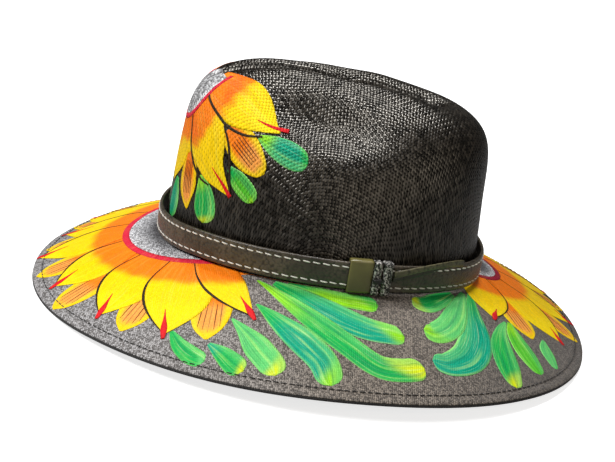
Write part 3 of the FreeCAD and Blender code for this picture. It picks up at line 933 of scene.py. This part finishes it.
YELLOW, LEMON = srgb(247, 206, 0), srgb(248, 220, 6)
ORANGE, DEEP_ORANGE = srgb(246, 124, 14), srgb(236, 84, 14)
CRIMSON, DARK_RED, RED = srgb(214, 36, 66), srgb(150, 14, 48), srgb(214, 34, 40)
TEAL, GREEN, GRASS, LIME = srgb(0, 158, 124), srgb(24, 172, 78), srgb(84, 192, 44), srgb(140, 214, 16)
PALE_GREEN, GOLD_LIME = srgb(92, 196, 108), srgb(214, 224, 0)
OUTLINE, STREAK, SKIN = srgb(52, 42, 30), srgb(104, 56, 30), srgb(244, 176, 92)


def mixed(a, b, share):
    share = np.asarray(share)[..., None]
    return np.asarray(a) * (1 - share) + np.asarray(b) * share


def spline(values, t):
    """A smooth curve through evenly spaced values."""
    values = np.asarray(values, float)
    n = len(values) - 1
    place = np.clip(np.asarray(t) * n, 0, n - 1e-9)
    k = place.astype(int)
    f = place - k
    padded = np.concatenate([[2 * values[0] - values[1]], values, [2 * values[-1] - values[-2]]])
    a, b, c, d = (padded[k + i] for i in range(4))
    if values.ndim > 1:
        f = f[:, None]
    return b + 0.5 * f * (c - a + f * (2 * a - 5 * b + 4 * c - d + f * (3 * (b - c) + d - a)))


def even_curve(points, count):
    """Evenly spaced points along a smooth curve through the given ones."""
    dense = spline(points, np.linspace(0.0, 1.0, 300))
    run = lengths(dense)
    want = np.linspace(0.0, run[-1], count)
    return np.stack([np.interp(want, run, dense[:, k]) for k in range(2)], -1), run[-1]


class Canvas:
    """The painting on one cloth."""

    def __init__(self, place, threads, hides):
        self.surface = Surface()
        self.place, self.threads, self.hides = place, threads, hides

    def sheet(self, position, rows, cols, size, colour, streaks, lift, thick=0.12):
        """A thin closed layer: position(t, s) is its chart place, t along 0 to 1 and s across -1 to 1."""
        t = np.linspace(0.0, 1.0, rows)
        s = np.linspace(-1.0, 1.0, cols)
        grid_t, grid_s = np.meshgrid(t, s, indexing="ij")
        if self.hides:
            grid_t = self.trimmed(position, s, grid_t)
            if grid_t is None:
                return
        spot = position(grid_t, grid_s)
        top = self.place(spot, np.full(grid_t.shape, lift))
        bottom = self.place(spot, np.full(grid_t.shape, lift - thick))
        shade = np.ones(grid_t.shape + (4,))
        shade[..., :3] = colour(grid_t, grid_s, spot)
        shade[..., 3] = streaks
        stroke = np.stack([grid_t * size[0], grid_s * size[1]], -1)
        stroke = stroke + np.array([37.0, 11.0]) * (self.surface.count % 97)
        points = np.concatenate([top, bottom[:, ::-1]], 1)
        weave = self.threads(spot)
        weave = np.concatenate([weave, weave[:, ::-1], weave[:, :1]], 1)
        stroke = np.concatenate([stroke, stroke[:, ::-1], stroke[:, :1]], 1)
        paint = np.concatenate([shade, shade[:, ::-1]], 1)
        self.surface.grid(points, weave, stroke, paint, cols_wrap=True, caps="pairs")

    def trimmed(self, position, s, grid_t):
        """Moves the start of each lengthwise line out of the hidden part of the cloth."""
        fine = np.linspace(0.0, 1.0, 240)
        fine_t, fine_s = np.meshgrid(fine, s, indexing="ij")
        hidden = self.hides(position(fine_t, fine_s))
        start = np.where(hidden.any(0), fine[np.minimum(239, 240 - np.argmax(hidden[::-1], 0))], 0.0)
        if (start > 0.97).all():
            return None
        return start[None, :] + (1 - np.minimum(start, 0.985)[None, :]) * grid_t

    def stroke(self, spine, left, right, colour, streaks, lift, round_end=False, cols=13, grain=1.3):
        """A brush stroke along a spine, with its half widths to either side."""
        base, length = even_curve(spine, 200)
        rows = max(8, int(length / grain))
        slope = np.gradient(base, axis=0)
        slope /= np.linalg.norm(slope, axis=-1, keepdims=True)
        normal = np.stack([-slope[:, 1], slope[:, 0]], -1)
        line = np.linspace(0.0, 1.0, 200)
        widths = []
        for half in (left, right):
            width = np.maximum(0.1, spline(np.asarray(half, float), line))
            if round_end:
                cap = 0.9 * width[-1] / length
                width = width * np.sqrt(np.maximum(0.002, 1 - np.clip((line - 1 + cap) / cap, 0, 1) ** 2))
            widths.append(width)

        def position(t, s):
            x = np.interp(t, line, base[:, 0])
            y = np.interp(t, line, base[:, 1])
            nx = np.interp(t, line, normal[:, 0])
            ny = np.interp(t, line, normal[:, 1])
            w = np.where(s > 0, np.interp(t, line, widths[0]), np.interp(t, line, widths[1])) * s
            return np.stack([x + nx * w, y + ny * w], -1)

        size = (length, max(max(left), max(right)))
        self.sheet(position, rows, cols, size, colour, streaks, lift)

    def line(self, spine, half, colour, lift):
        """A thin stroke of one colour."""
        self.stroke(spine, half, half, flat(colour), 0.0, lift, cols=4, grain=1.6)

    def wedge(self, centre, radii, low, high, colour, streaks, lift, cols=17, grain=1.4):
        """A petal between two edges, given as angles in degrees about the centre from inside outwards."""
        inner, outer = radii

        def position(t, s):
            shape = t.shape
            a = np.interp(t.ravel(), q, low_line).reshape(shape)
            b = np.interp(t.ravel(), q, high_line).reshape(shape)
            angle = np.radians((a + b) / 2 + s * (b - a) / 2)
            radius = inner + (outer - inner) * t
            return np.stack([centre[0] + radius * np.cos(angle), centre[1] + radius * np.sin(angle)], -1)

        q = np.linspace(0.0, 1.0, 160)
        low_line, high_line = spline(low, q), spline(high, q)
        high_line = np.maximum(high_line, low_line + 0.08)
        rows = max(3, int((outer - inner) / grain))
        width = math.radians(np.max(high_line - low_line)) * (inner + outer) / 4
        self.sheet(position, rows, cols, (outer - inner, width), colour, streaks, lift)


def under_crown(p):
    return unplan(p[..., 0], p[..., 1])[1] < 1.2


def polar(centre, angle, radius):
    """The plan point at an angle in degrees and a radius about a centre."""
    turn = np.radians(angle)
    return np.stack([centre[0] + radius * np.cos(turn), centre[1] + radius * np.sin(turn)], -1)


def flat(colour):
    return lambda t, s, p: mixed(colour, colour, t)


FRONT_CENTRE = np.array([-3.0, -57.0])
BACK_CENTRE = np.array([-24.0, 91.0])
PETAL_CLOCKWISE = (-16.5, -16.7, -16.8, -16.2, -14.5, -11.8, -8.3, -4.2, 0.0)
PETAL_OTHER = (6.0, 7.5, 9.0, 10.0, 10.2, 9.2, 7.0, 3.6, 0.0)
FIRST_CLOCKWISE = (-25.9, -23.7, -21.5, -18.8, -16.0, -12.5, -8.6, -4.4, 0.0)
FIRST_OTHER = (-11.8, -5.5, -3.4, -1.8, -1.0, -0.6, -0.3, -0.1, 0.1)
BACK_PETAL = (5.6, 6.2, 6.8, 7.0, 6.9, 6.4, 5.4, 3.6, 0.4)


def disc_colour(centre, rim, light, dark):
    def colour(t, s, p):
        radius = np.hypot(p[..., 0] - centre[0], p[..., 1] - centre[1])
        return mixed(dark, light, smooth_step(radius, rim * 0.72, rim))

    return colour


def petal_colour(centre, turn, inner, outer):
    """Orange near the disc, yellow from the radius turn outwards."""

    def colour(t, s, p):
        dx, dy = p[..., 0] - centre[0], p[..., 1] - centre[1]
        radius = np.hypot(dx, dy) + 0.7 * np.sin(0.33 * dx + 0.2 * dy) + 0.3 * np.sin(0.9 * dx - 0.7 * dy)
        base = mixed(inner, outer, smooth_step(radius, turn - 3.5, turn + 3.5))
        return mixed(base, LEMON, smooth_step(radius, turn + 12, turn + 24) * 0.7)

    return colour


def back_petal_colour(t, s, p):
    middle = (1 - smooth_step(np.abs(s), 0.45, 0.85)) * (1 - smooth_step(t, 0.8, 0.95))
    return mixed(YELLOW, mixed(ORANGE, SKIN, smooth_step(t, 0.4, 0.6) * 0.6), middle)


def flower(canvas, middle, centre, ring, turn, petals, behind, sense, dark_ring):
    """A sunflower on the brim: disc, ring, petals that overlap each other and petals behind them."""
    inner, outer = ring
    level = 0.20
    for angle, radius in behind:
        start = inner + (radius - inner) * 0.25
        half = np.array(BACK_PETAL) * 110.0 / (radius - 12.0)
        canvas.wedge(centre, (start, radius), angle - half, angle + half, back_petal_colour, 0.25, level)
        for k in range(5):
            offset = (k - 2) * 1.75 * 110.0 / radius
            q = np.linspace(0.42 + 0.05 * (k % 2), 0.90 - 0.04 * abs(k - 2), 4)
            spine = polar(centre, angle + offset, start + (radius - start) * q)
            canvas.line(spine, (0.14, 0.30, 0.26, 0.10), mixed(STREAK, SKIN, 0.25 * (k % 3)), level + 0.12)
    for k, (angle, radius, low, high) in enumerate(petals[::-1]):
        level = 0.26 + 0.025 * k
        base = outer - 1.0
        colour = petal_colour(centre, turn, ORANGE, YELLOW)
        canvas.wedge(centre, (base, radius), angle + low, angle + high, colour, 0.22, level)
        q = np.linspace(0.0, 0.97, 9)
        edge = spline(low if sense < 0 else high, q)
        spine = polar(centre, angle + edge, base + (radius - base) * q)
        widths = np.array([0.30, 0.35, 0.50, 0.70, 0.80, 0.70, 0.50, 0.35, 0.2])
        canvas.line(spine, widths * (1.0 if radius > 100 else 0.6), OUTLINE, level + 0.09)
        reach = radius / 120.0
        turns = angle - sense * np.array([-3.4, -2.0, -0.7, 0.3]) / reach
        tip = polar(centre, turns, radius + np.array([-17.0, -10.5, -3.5, 3.0]) * reach)
        canvas.line(tip, (0.15, 0.8, 1.9, 1.0), RED, level + 0.14)
    for low in range(-200, 200, 40):
        sweep = (np.full(3, float(low)), np.full(3, low + 40.3))
        canvas.wedge(centre, (inner, outer + 12.0), *sweep, flat(ORANGE), 0.2, 0.16, cols=34, grain=2.0)
    top = 0.30 + 0.025 * len(petals)
    red = DARK_RED if dark_ring else CRIMSON
    for low in range(-200, 200, 40):
        sweep = (np.full(3, float(low)), np.full(3, low + 40.3))
        disc = disc_colour(centre, inner, srgb(236, 236, 240), srgb(104, 103, 106))
        middle.wedge(centre, (2.0, inner + 0.4), *sweep, disc, 0.0, top, cols=34, grain=1.6)
        canvas.wedge(centre, (inner, outer), *sweep, flat(red), 0.15, top + 0.05, cols=34, grain=1.0)


def leaf_colour(tail, body, head, side):
    """Colours along a leaf stroke, with one pale side and a pale rim."""

    def colour(t, s, p):
        base = mixed(tail, body, smooth_step(t, 0.12, 0.42))
        base = mixed(base, head, smooth_step(t + 0.10 * s, 0.80, 0.94))
        base = mixed(base, PALE_GREEN, 0.55 * smooth_step(s * side, 0.0, 0.7))
        return mixed(base, srgb(150, 232, 120), 0.55 * smooth_step(np.abs(s), 0.82, 0.97))

    return colour


# Leaf strokes: spine points, half widths and the colours of tail, body and head, and the pale side.
BRIM_LEAVES = (
    (((85, -20), (92, 7), (92, 24), (91, 34)), (2, 4.5, 6.0, 6.2), GREEN, LIME, GRASS, 1),
    (((85, -28), (101, -2), (111, 24), (111, 44), (110, 50)), (2, 7, 9.2, 8.6, 7), GREEN, TEAL, LIME, 1),
    (
        ((83, -38), (108, -9), (127, 17), (137, 35), (135, 50), (129, 62)),
        (0.6, 4.4, 7.2, 7.8, 8, 7.4),
        LIME, GREEN, GOLD_LIME, 1,
    ),
    (
        ((103, -37), (118, -21), (131, -6), (142, 4), (156, 9)),
        (0.6, 5.6, 8.9, 9.0, 7.6),
        GREEN, TEAL, LIME, 1,
    ),
    (
        ((114, -50), (125, -41), (137, -32), (146, -25), (153, -22)),
        (0.6, 4, 7.6, 8.0, 7.2),
        PALE_GREEN, PALE_GREEN, GOLD_LIME, 1,
    ),
    (((132, -61), (140, -52), (147, -45), (151, -40)), (1.2, 4.6, 6.4, 6.4), TEAL, GREEN, GOLD_LIME, 1),
    (((121, -83), (132, -77), (140, -69), (144, -62)), (1.2, 4.2, 5.6, 5.2), GREEN, GREEN, PALE_GREEN, 1),
    (((54, 82), (68, 72), (77, 63), (76, 55)), (2, 5.2, 6.4, 5.6), GREEN, GREEN, GOLD_LIME, 1),
    (
        ((46, 90), (69, 85), (87, 79), (98, 70), (99, 62)),
        (1.5, 5, 7.6, 8, 7),
        PALE_GREEN, PALE_GREEN, LIME, 1,
    ),
    (
        ((39, 95), (66, 95), (88, 96), (107, 90), (119, 78), (121, 67)),
        (1, 4.5, 8.6, 10.6, 9.2, 6),
        GREEN, TEAL, TEAL, -1,
    ),
    (
        ((55, 118), (68, 114), (84, 113), (102, 116), (114, 120)),
        (0.8, 4.0, 7.6, 8.4, 4.6),
        PALE_GREEN, GREEN, GOLD_LIME, 1,
    ),
    (((53, 121), (66, 124), (79, 130), (91, 138)), (1.5, 6.4, 8.0, 4.2), LIME, GRASS, GRASS, 1),
    (((50, 145), (63, 146), (76, 150)), (1.0, 5.2, 2.2), PALE_GREEN, PALE_GREEN, PALE_GREEN, 1),
)
LEAVES_ON_BOTH_SIDES = 9


def draw_leaf(canvas, leaf, lift, mirror=None):
    spine, halves, tail, body, head, side = leaf
    points = np.array(spine, float)
    if mirror is not None:
        points[:, 0] = mirror - points[:, 0]
    halves = np.array(halves, float)
    colour = leaf_colour(tail, body, head, side if mirror is None else -side)
    canvas.stroke(points, halves, halves, colour, 1.0, lift, round_end=True)


def paint_brim():
    """The brim's leaves, the first of them with a mirror image, and its front and back flowers."""
    canvas, middle = (Canvas(brim_place, planar, under_crown) for _ in range(2))
    for k, leaf in enumerate(BRIM_LEAVES):
        draw_leaf(canvas, leaf, 0.14 + 0.01 * (k % 3))
        if k < LEAVES_ON_BOTH_SIDES:
            draw_leaf(canvas, leaf, 0.14 + 0.01 * (k % 3), mirror=0.0)
    others = ((-13.4, 129.5), (-34.3, 123.5), (-60.6, 118.0), (-87.6, 121.0))
    others += ((-108.0, 116.0), (-128.0, 127.0), (-148.0, 126.0), (-168.0, 122.0))
    first = [(9.3, 117.5, np.array(FIRST_CLOCKWISE), np.array(FIRST_OTHER))]
    low, high = np.array(PETAL_CLOCKWISE), np.array(PETAL_OTHER)
    last = [(-189.0, 117.5, -np.array(FIRST_OTHER), -np.array(FIRST_CLOCKWISE))]
    petals = first + [(a, r, low, high) for a, r in others] + last
    behind = ((-2.6, 132.0), (-24.8, 131.0), (-49.4, 130.5), (-72.5, 122.7), (-94.3, 119.0))
    behind += ((-118.0, 122.0), (-138.0, 129.0), (-158.0, 131.0), (-178.0, 131.0))
    flower(canvas, middle, FRONT_CENTRE, (65.2, 69.4), 88.0, petals, behind, -1, False)
    tips = ((13.0, 84.0), (48.5, 92.0), (82.0, 86.0), (115.0, 84.0), (150.0, 80.0))
    petals = [(a, r, -high * 1.3, -low * 1.35) for a, r in tips]
    behind = ((29.0, 93.0), (64.0, 94.0), (98.0, 85.0), (131.0, 84.0))
    flower(canvas, middle, BACK_CENTRE, (30.0, 34.0), 53.5, petals, behind, 1, True)
    coat = paint_coat("brim_paint", BRIM_PITCH, 0.25, 0.12, BRIM_WANDER)
    middle.surface.make("brim_flower_centres", dusted_cloth("brim_dusting", BRIM_PITCH), "hat")
    canvas.surface.make("brim_painting", coat, "hat")


# Petals on the crown's chart: spine points, half widths and the radius where orange turns to yellow.
CROWN_PETALS = (
    (
        ((22, 93), (37, 94.7), (52, 95.3), (67, 94.6), (82, 93.4), (92, 92), (99, 91.3)),
        (6, 9.6, 13, 14.3, 12.3, 7.4, 0.5),
        47.0,
    ),
    (((31, 81), (42, 73), (52, 63.5), (61, 54), (70, 48), (79, 42.6)), (9, 15, 16.5, 12, 6, 0.4), 45.0),
    (((12, 73), (13, 60), (14, 46), (14, 30)), (13.5, 19.5, 16, 0.6), 38.0),
)
CROWN_LEAVES = (
    (((87, 83), (100, 82.4), (111, 81.8), (124, 81)), (1.5, 6.4, 8.4, 6.2), LIME, TEAL, GREEN, -1),
    (((74, 58.5), (82, 54), (90, 49.5), (95, 45)), (2, 6, 6.6, 5), GREEN, GRASS, LIME, 1),
    (((53, 46), (58.5, 36), (61, 28), (62, 19.5)), (2, 7.4, 9.2, 7.4), LIME, GREEN, GOLD_LIME, 1),
    (((23, 34), (23, 26), (23.5, 18), (24, 9.5)), (2, 7, 8.4, 5), GREEN, TEAL, GREEN, 1),
)
CROWN_BACK_PETALS = (
    (((64, 79), (77, 74), (88, 69), (98, 64.5)), (6, 10.5, 10, 4.5)),
    (((35, 58), (38, 46), (40, 34), (44.5, 21.5)), (5, 9, 9.3, 0.6)),
)
CROWN_OUTLINES = (
    ((25, 90), (38, 85.4), (53, 81.8), (63, 79.6), (77, 80), (89, 84)),
    ((24, 74), (30, 66), (34, 58.5), (43, 49.3), (53, 44), (61, 43)),
    ((60, 79), (66, 74), (71, 67), (75.5, 54), (78.6, 43)),
)
CROWN_FLICKS = (((80, 91), (92, 92), (104, 95)), ((61, 54), (72, 47.6), (79, 42.4)))
CROWN_MIRROR = 18.0
CROWN_CENTRE = np.array([CROWN_MIRROR / 2, 91.0])
CROWN_BASE_SWEEP = (-175.0, -5.0)


def mirrored(points, flip):
    points = np.array(points, float)
    if flip:
        points[:, 0] = CROWN_MIRROR - points[:, 0]
    return points


def crown_petal_colour(turn, start):
    def colour(t, s, p):
        reach = np.hypot(p[..., 0] - start[0], p[..., 1] - start[1])
        reach = reach + 1.5 * np.sin(0.4 * p[..., 0]) + np.sin(0.8 * p[..., 1] + 1.0)
        bands = np.sin(0.11 * p[..., 0] + 0.16 * p[..., 1])
        base = mixed(ORANGE, DEEP_ORANGE, 0.5 * smooth_step(bands, 0.4, 1.0))
        base = mixed(base, YELLOW, smooth_step(reach, turn - 5, turn + 3))
        return mixed(base, LEMON, 0.6 * smooth_step(reach, turn + 12, turn + 26))

    return colour


def paint_crown_side(canvas, flip):
    """Half of the crown's flower and leaves; flip mirrors it, with one petal and one flick lower."""
    drop = np.array([0.0, -9.0 if flip else 0.0])
    for leaf in CROWN_LEAVES:
        draw_leaf(canvas, leaf, 0.15, mirror=CROWN_MIRROR if flip else None)
    for spine, halves in CROWN_BACK_PETALS:
        points = mirrored(spine, flip)
        canvas.stroke(points, halves, halves, back_petal_colour, 0.25, 0.22, round_end=True)
        base, _ = even_curve(points, 5)
        slope = base[-1] - base[0]
        side = np.array([-slope[1], slope[0]]) / np.hypot(*slope)
        for k in range(5):
            canvas.line(base[1:4] + side * (k - 2) * 2.0, (0.18, 0.34, 0.12), STREAK, 0.36)
    level = 0.28 if flip else 0.36
    for k, (spine, halves, turn) in enumerate(CROWN_PETALS[::-1]):
        points = mirrored(spine, flip) + drop * (k == 2)
        colour = crown_petal_colour(turn, CROWN_CENTRE)
        canvas.stroke(points, halves, halves, colour, 0.3, level + 0.03 * k, cols=19)
    for line in CROWN_OUTLINES:
        canvas.line(mirrored(line, flip), (0.5, 0.8, 0.8, 0.5), OUTLINE, level + 0.16)
    for k, line in enumerate(CROWN_FLICKS):
        canvas.line(mirrored(line, flip) + drop * (k == 0), (0.2, 0.9, 1.5), RED, level + 0.2)


def paint_crown():
    """The crown's flower: its base, both halves with their petals and leaves, the disc and its ring."""
    canvas, middle = (Canvas(crown_place, crown_threads, None) for _ in range(2))
    around_low, around_high = CROWN_BASE_SWEEP
    base = (np.full(3, around_low), np.full(3, around_high))
    colour = crown_petal_colour(41.0, CROWN_CENTRE)
    canvas.wedge(CROWN_CENTRE, (18.0, 46.0), *base, colour, 0.3, 0.25, cols=90)
    paint_crown_side(canvas, True)
    paint_crown_side(canvas, False)
    inner, outer, top = 21.8, 24.4, 97.5 - CROWN_CENTRE[1]
    heights = np.linspace(-inner, top, 9)
    chords = np.sqrt(inner**2 - heights**2 + 0.3)
    spine = np.stack([np.full(9, CROWN_CENTRE[0]), CROWN_CENTRE[1] + heights], -1)
    grey = disc_colour(CROWN_CENTRE, inner, srgb(240, 240, 242), srgb(196, 196, 198))
    middle.stroke(spine, chords, chords, grey, 0.0, 0.58, cols=31, grain=1.1)
    for k in range(6):
        low = -187.0 + k * 208.0 / 6
        sweep = (np.full(3, low), np.full(3, low + 208.0 / 6 + 0.3))
        canvas.wedge(CROWN_CENTRE, (21.6, outer), *sweep, flat(CRIMSON), 0.2, 0.62, cols=16, grain=0.9)
    coat = paint_coat("crown_paint", CROWN_PITCH, 0.55, 0.62, CROWN_WANDER)
    middle.surface.make("crown_flower_centre", dusted_cloth("crown_dusting", CROWN_PITCH), "hat")
    canvas.surface.make("crown_painting", coat, "hat")


# Studio ------------------------------------------------------------------------------------------


def make_studio():
    """A pale floor that curves up into a wall all round."""
    profile = [(0.0, 0.0), (1.0, 0.0), (2.2, 0.0)]
    profile += [(2.2 + 0.9 * math.sin(a), 0.9 - 0.9 * math.cos(a)) for a in np.linspace(0.1, math.pi / 2, 14)]
    profile += [(3.1, 2.0), (3.1, 3.2)]
    floor_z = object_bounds()[0].z - 0.0004
    vertices, faces = [], []
    around = 96
    for radius, height in profile:
        for k in range(around):
            angle = 2 * math.pi * k / around
            vertices.append((radius * math.cos(angle), radius * math.sin(angle), floor_z + height))
    for row in range(len(profile) - 1):
        for k in range(around):
            n = (k + 1) % around
            faces.append((row * around + k, row * around + n, (row + 1) * around + n, (row + 1) * around + k))
    mesh = bpy.data.meshes.new("studio_floor")
    mesh.from_pydata(vertices, [], faces)
    mesh.polygons.foreach_set("use_smooth", [True] * len(faces))
    mesh.materials.append(studio())
    floor = bpy.data.objects.new("studio_floor", mesh)
    bpy.context.scene.collection.objects.link(floor)
    floor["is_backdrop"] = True


def aim(thing, eye, target):
    thing.location = eye
    thing.rotation_mode = "QUATERNION"
    thing.rotation_quaternion = (Vector(target) - Vector(eye)).to_track_quat("-Z", "Y")


def lamp(name, eye, size, power, colour=(1.0, 1.0, 1.0)):
    data = bpy.data.lights.new(name, "AREA")
    data.shape = "DISK"
    data.size, data.energy, data.color = size, power, colour
    thing = bpy.data.objects.new(name, data)
    bpy.context.scene.collection.objects.link(thing)
    aim(thing, eye, (0.0, 0.0, 0.02))


def make_lights():
    lamp("key", (0.45, -1.65, 1.3), 0.6, 22.0, (1.0, 0.99, 0.97))
    lamp("side", (0.75, -1.00, 1.25), 0.6, 15.0)
    lamp("top", (-0.34, 0.10, 1.62), 0.4, 19.0)
    lamp("fill", (1.7, 1.1, 0.9), 1.4, 9.0, (1.0, 0.91, 0.78))
    world = bpy.data.worlds.new("studio_light")
    bpy.context.scene.world = world
    world.use_nodes = True
    world.node_tree.nodes["Background"].inputs[0].default_value = (1.0, 1.0, 1.0, 1.0)
    world.node_tree.nodes["Background"].inputs[1].default_value = 0.12


def make_camera():
    """The reference viewpoint: from the hat's left side, a little above, with the camera rolled."""
    azimuth, elevation, roll = (math.radians(v) for v in (86.16, 18.85, 9.4))
    flat_back = math.cos(elevation)
    back = Vector((math.sin(azimuth) * flat_back, -math.cos(azimuth) * flat_back, math.sin(elevation)))
    level = Vector((math.cos(azimuth), math.sin(azimuth), 0.0))
    rise = back.cross(level)
    right = level * math.cos(roll) + rise * math.sin(roll)
    up = rise * math.cos(roll) - level * math.sin(roll)
    target = Vector((0.0, 0.0, 0.020))
    eye = target + back * 0.9
    looked_at = target - right * 0.0110 - up * 0.0129
    z_axis = (eye - looked_at).normalized()
    x_axis = (right - z_axis * right.dot(z_axis)).normalized()
    y_axis = z_axis.cross(x_axis)
    data = bpy.data.cameras.new("camera")
    data.lens, data.sensor_width = 82.1, 36.0
    data.clip_start, data.clip_end = 0.02, 20.0
    camera = bpy.data.objects.new("camera", data)
    camera.matrix_world = Matrix.Translation(eye) @ Matrix((x_axis, y_axis, z_axis)).transposed().to_4x4()
    bpy.context.scene.collection.objects.link(camera)
    bpy.context.scene.camera = camera


def corners(box):
    return [list(corner) for corner in box]


def main():
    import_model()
    cad_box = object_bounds()
    make_crown()
    make_brim()
    make_sweatband()
    make_hatband()
    make_stitches()
    make_riders()
    paint_brim()
    paint_crown()
    make_studio()
    make_lights()
    make_camera()
    bpy.context.scene.view_settings.view_transform = "Standard"
    sizes = {"cad": corners(cad_box), "visual": corners(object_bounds())}


main()
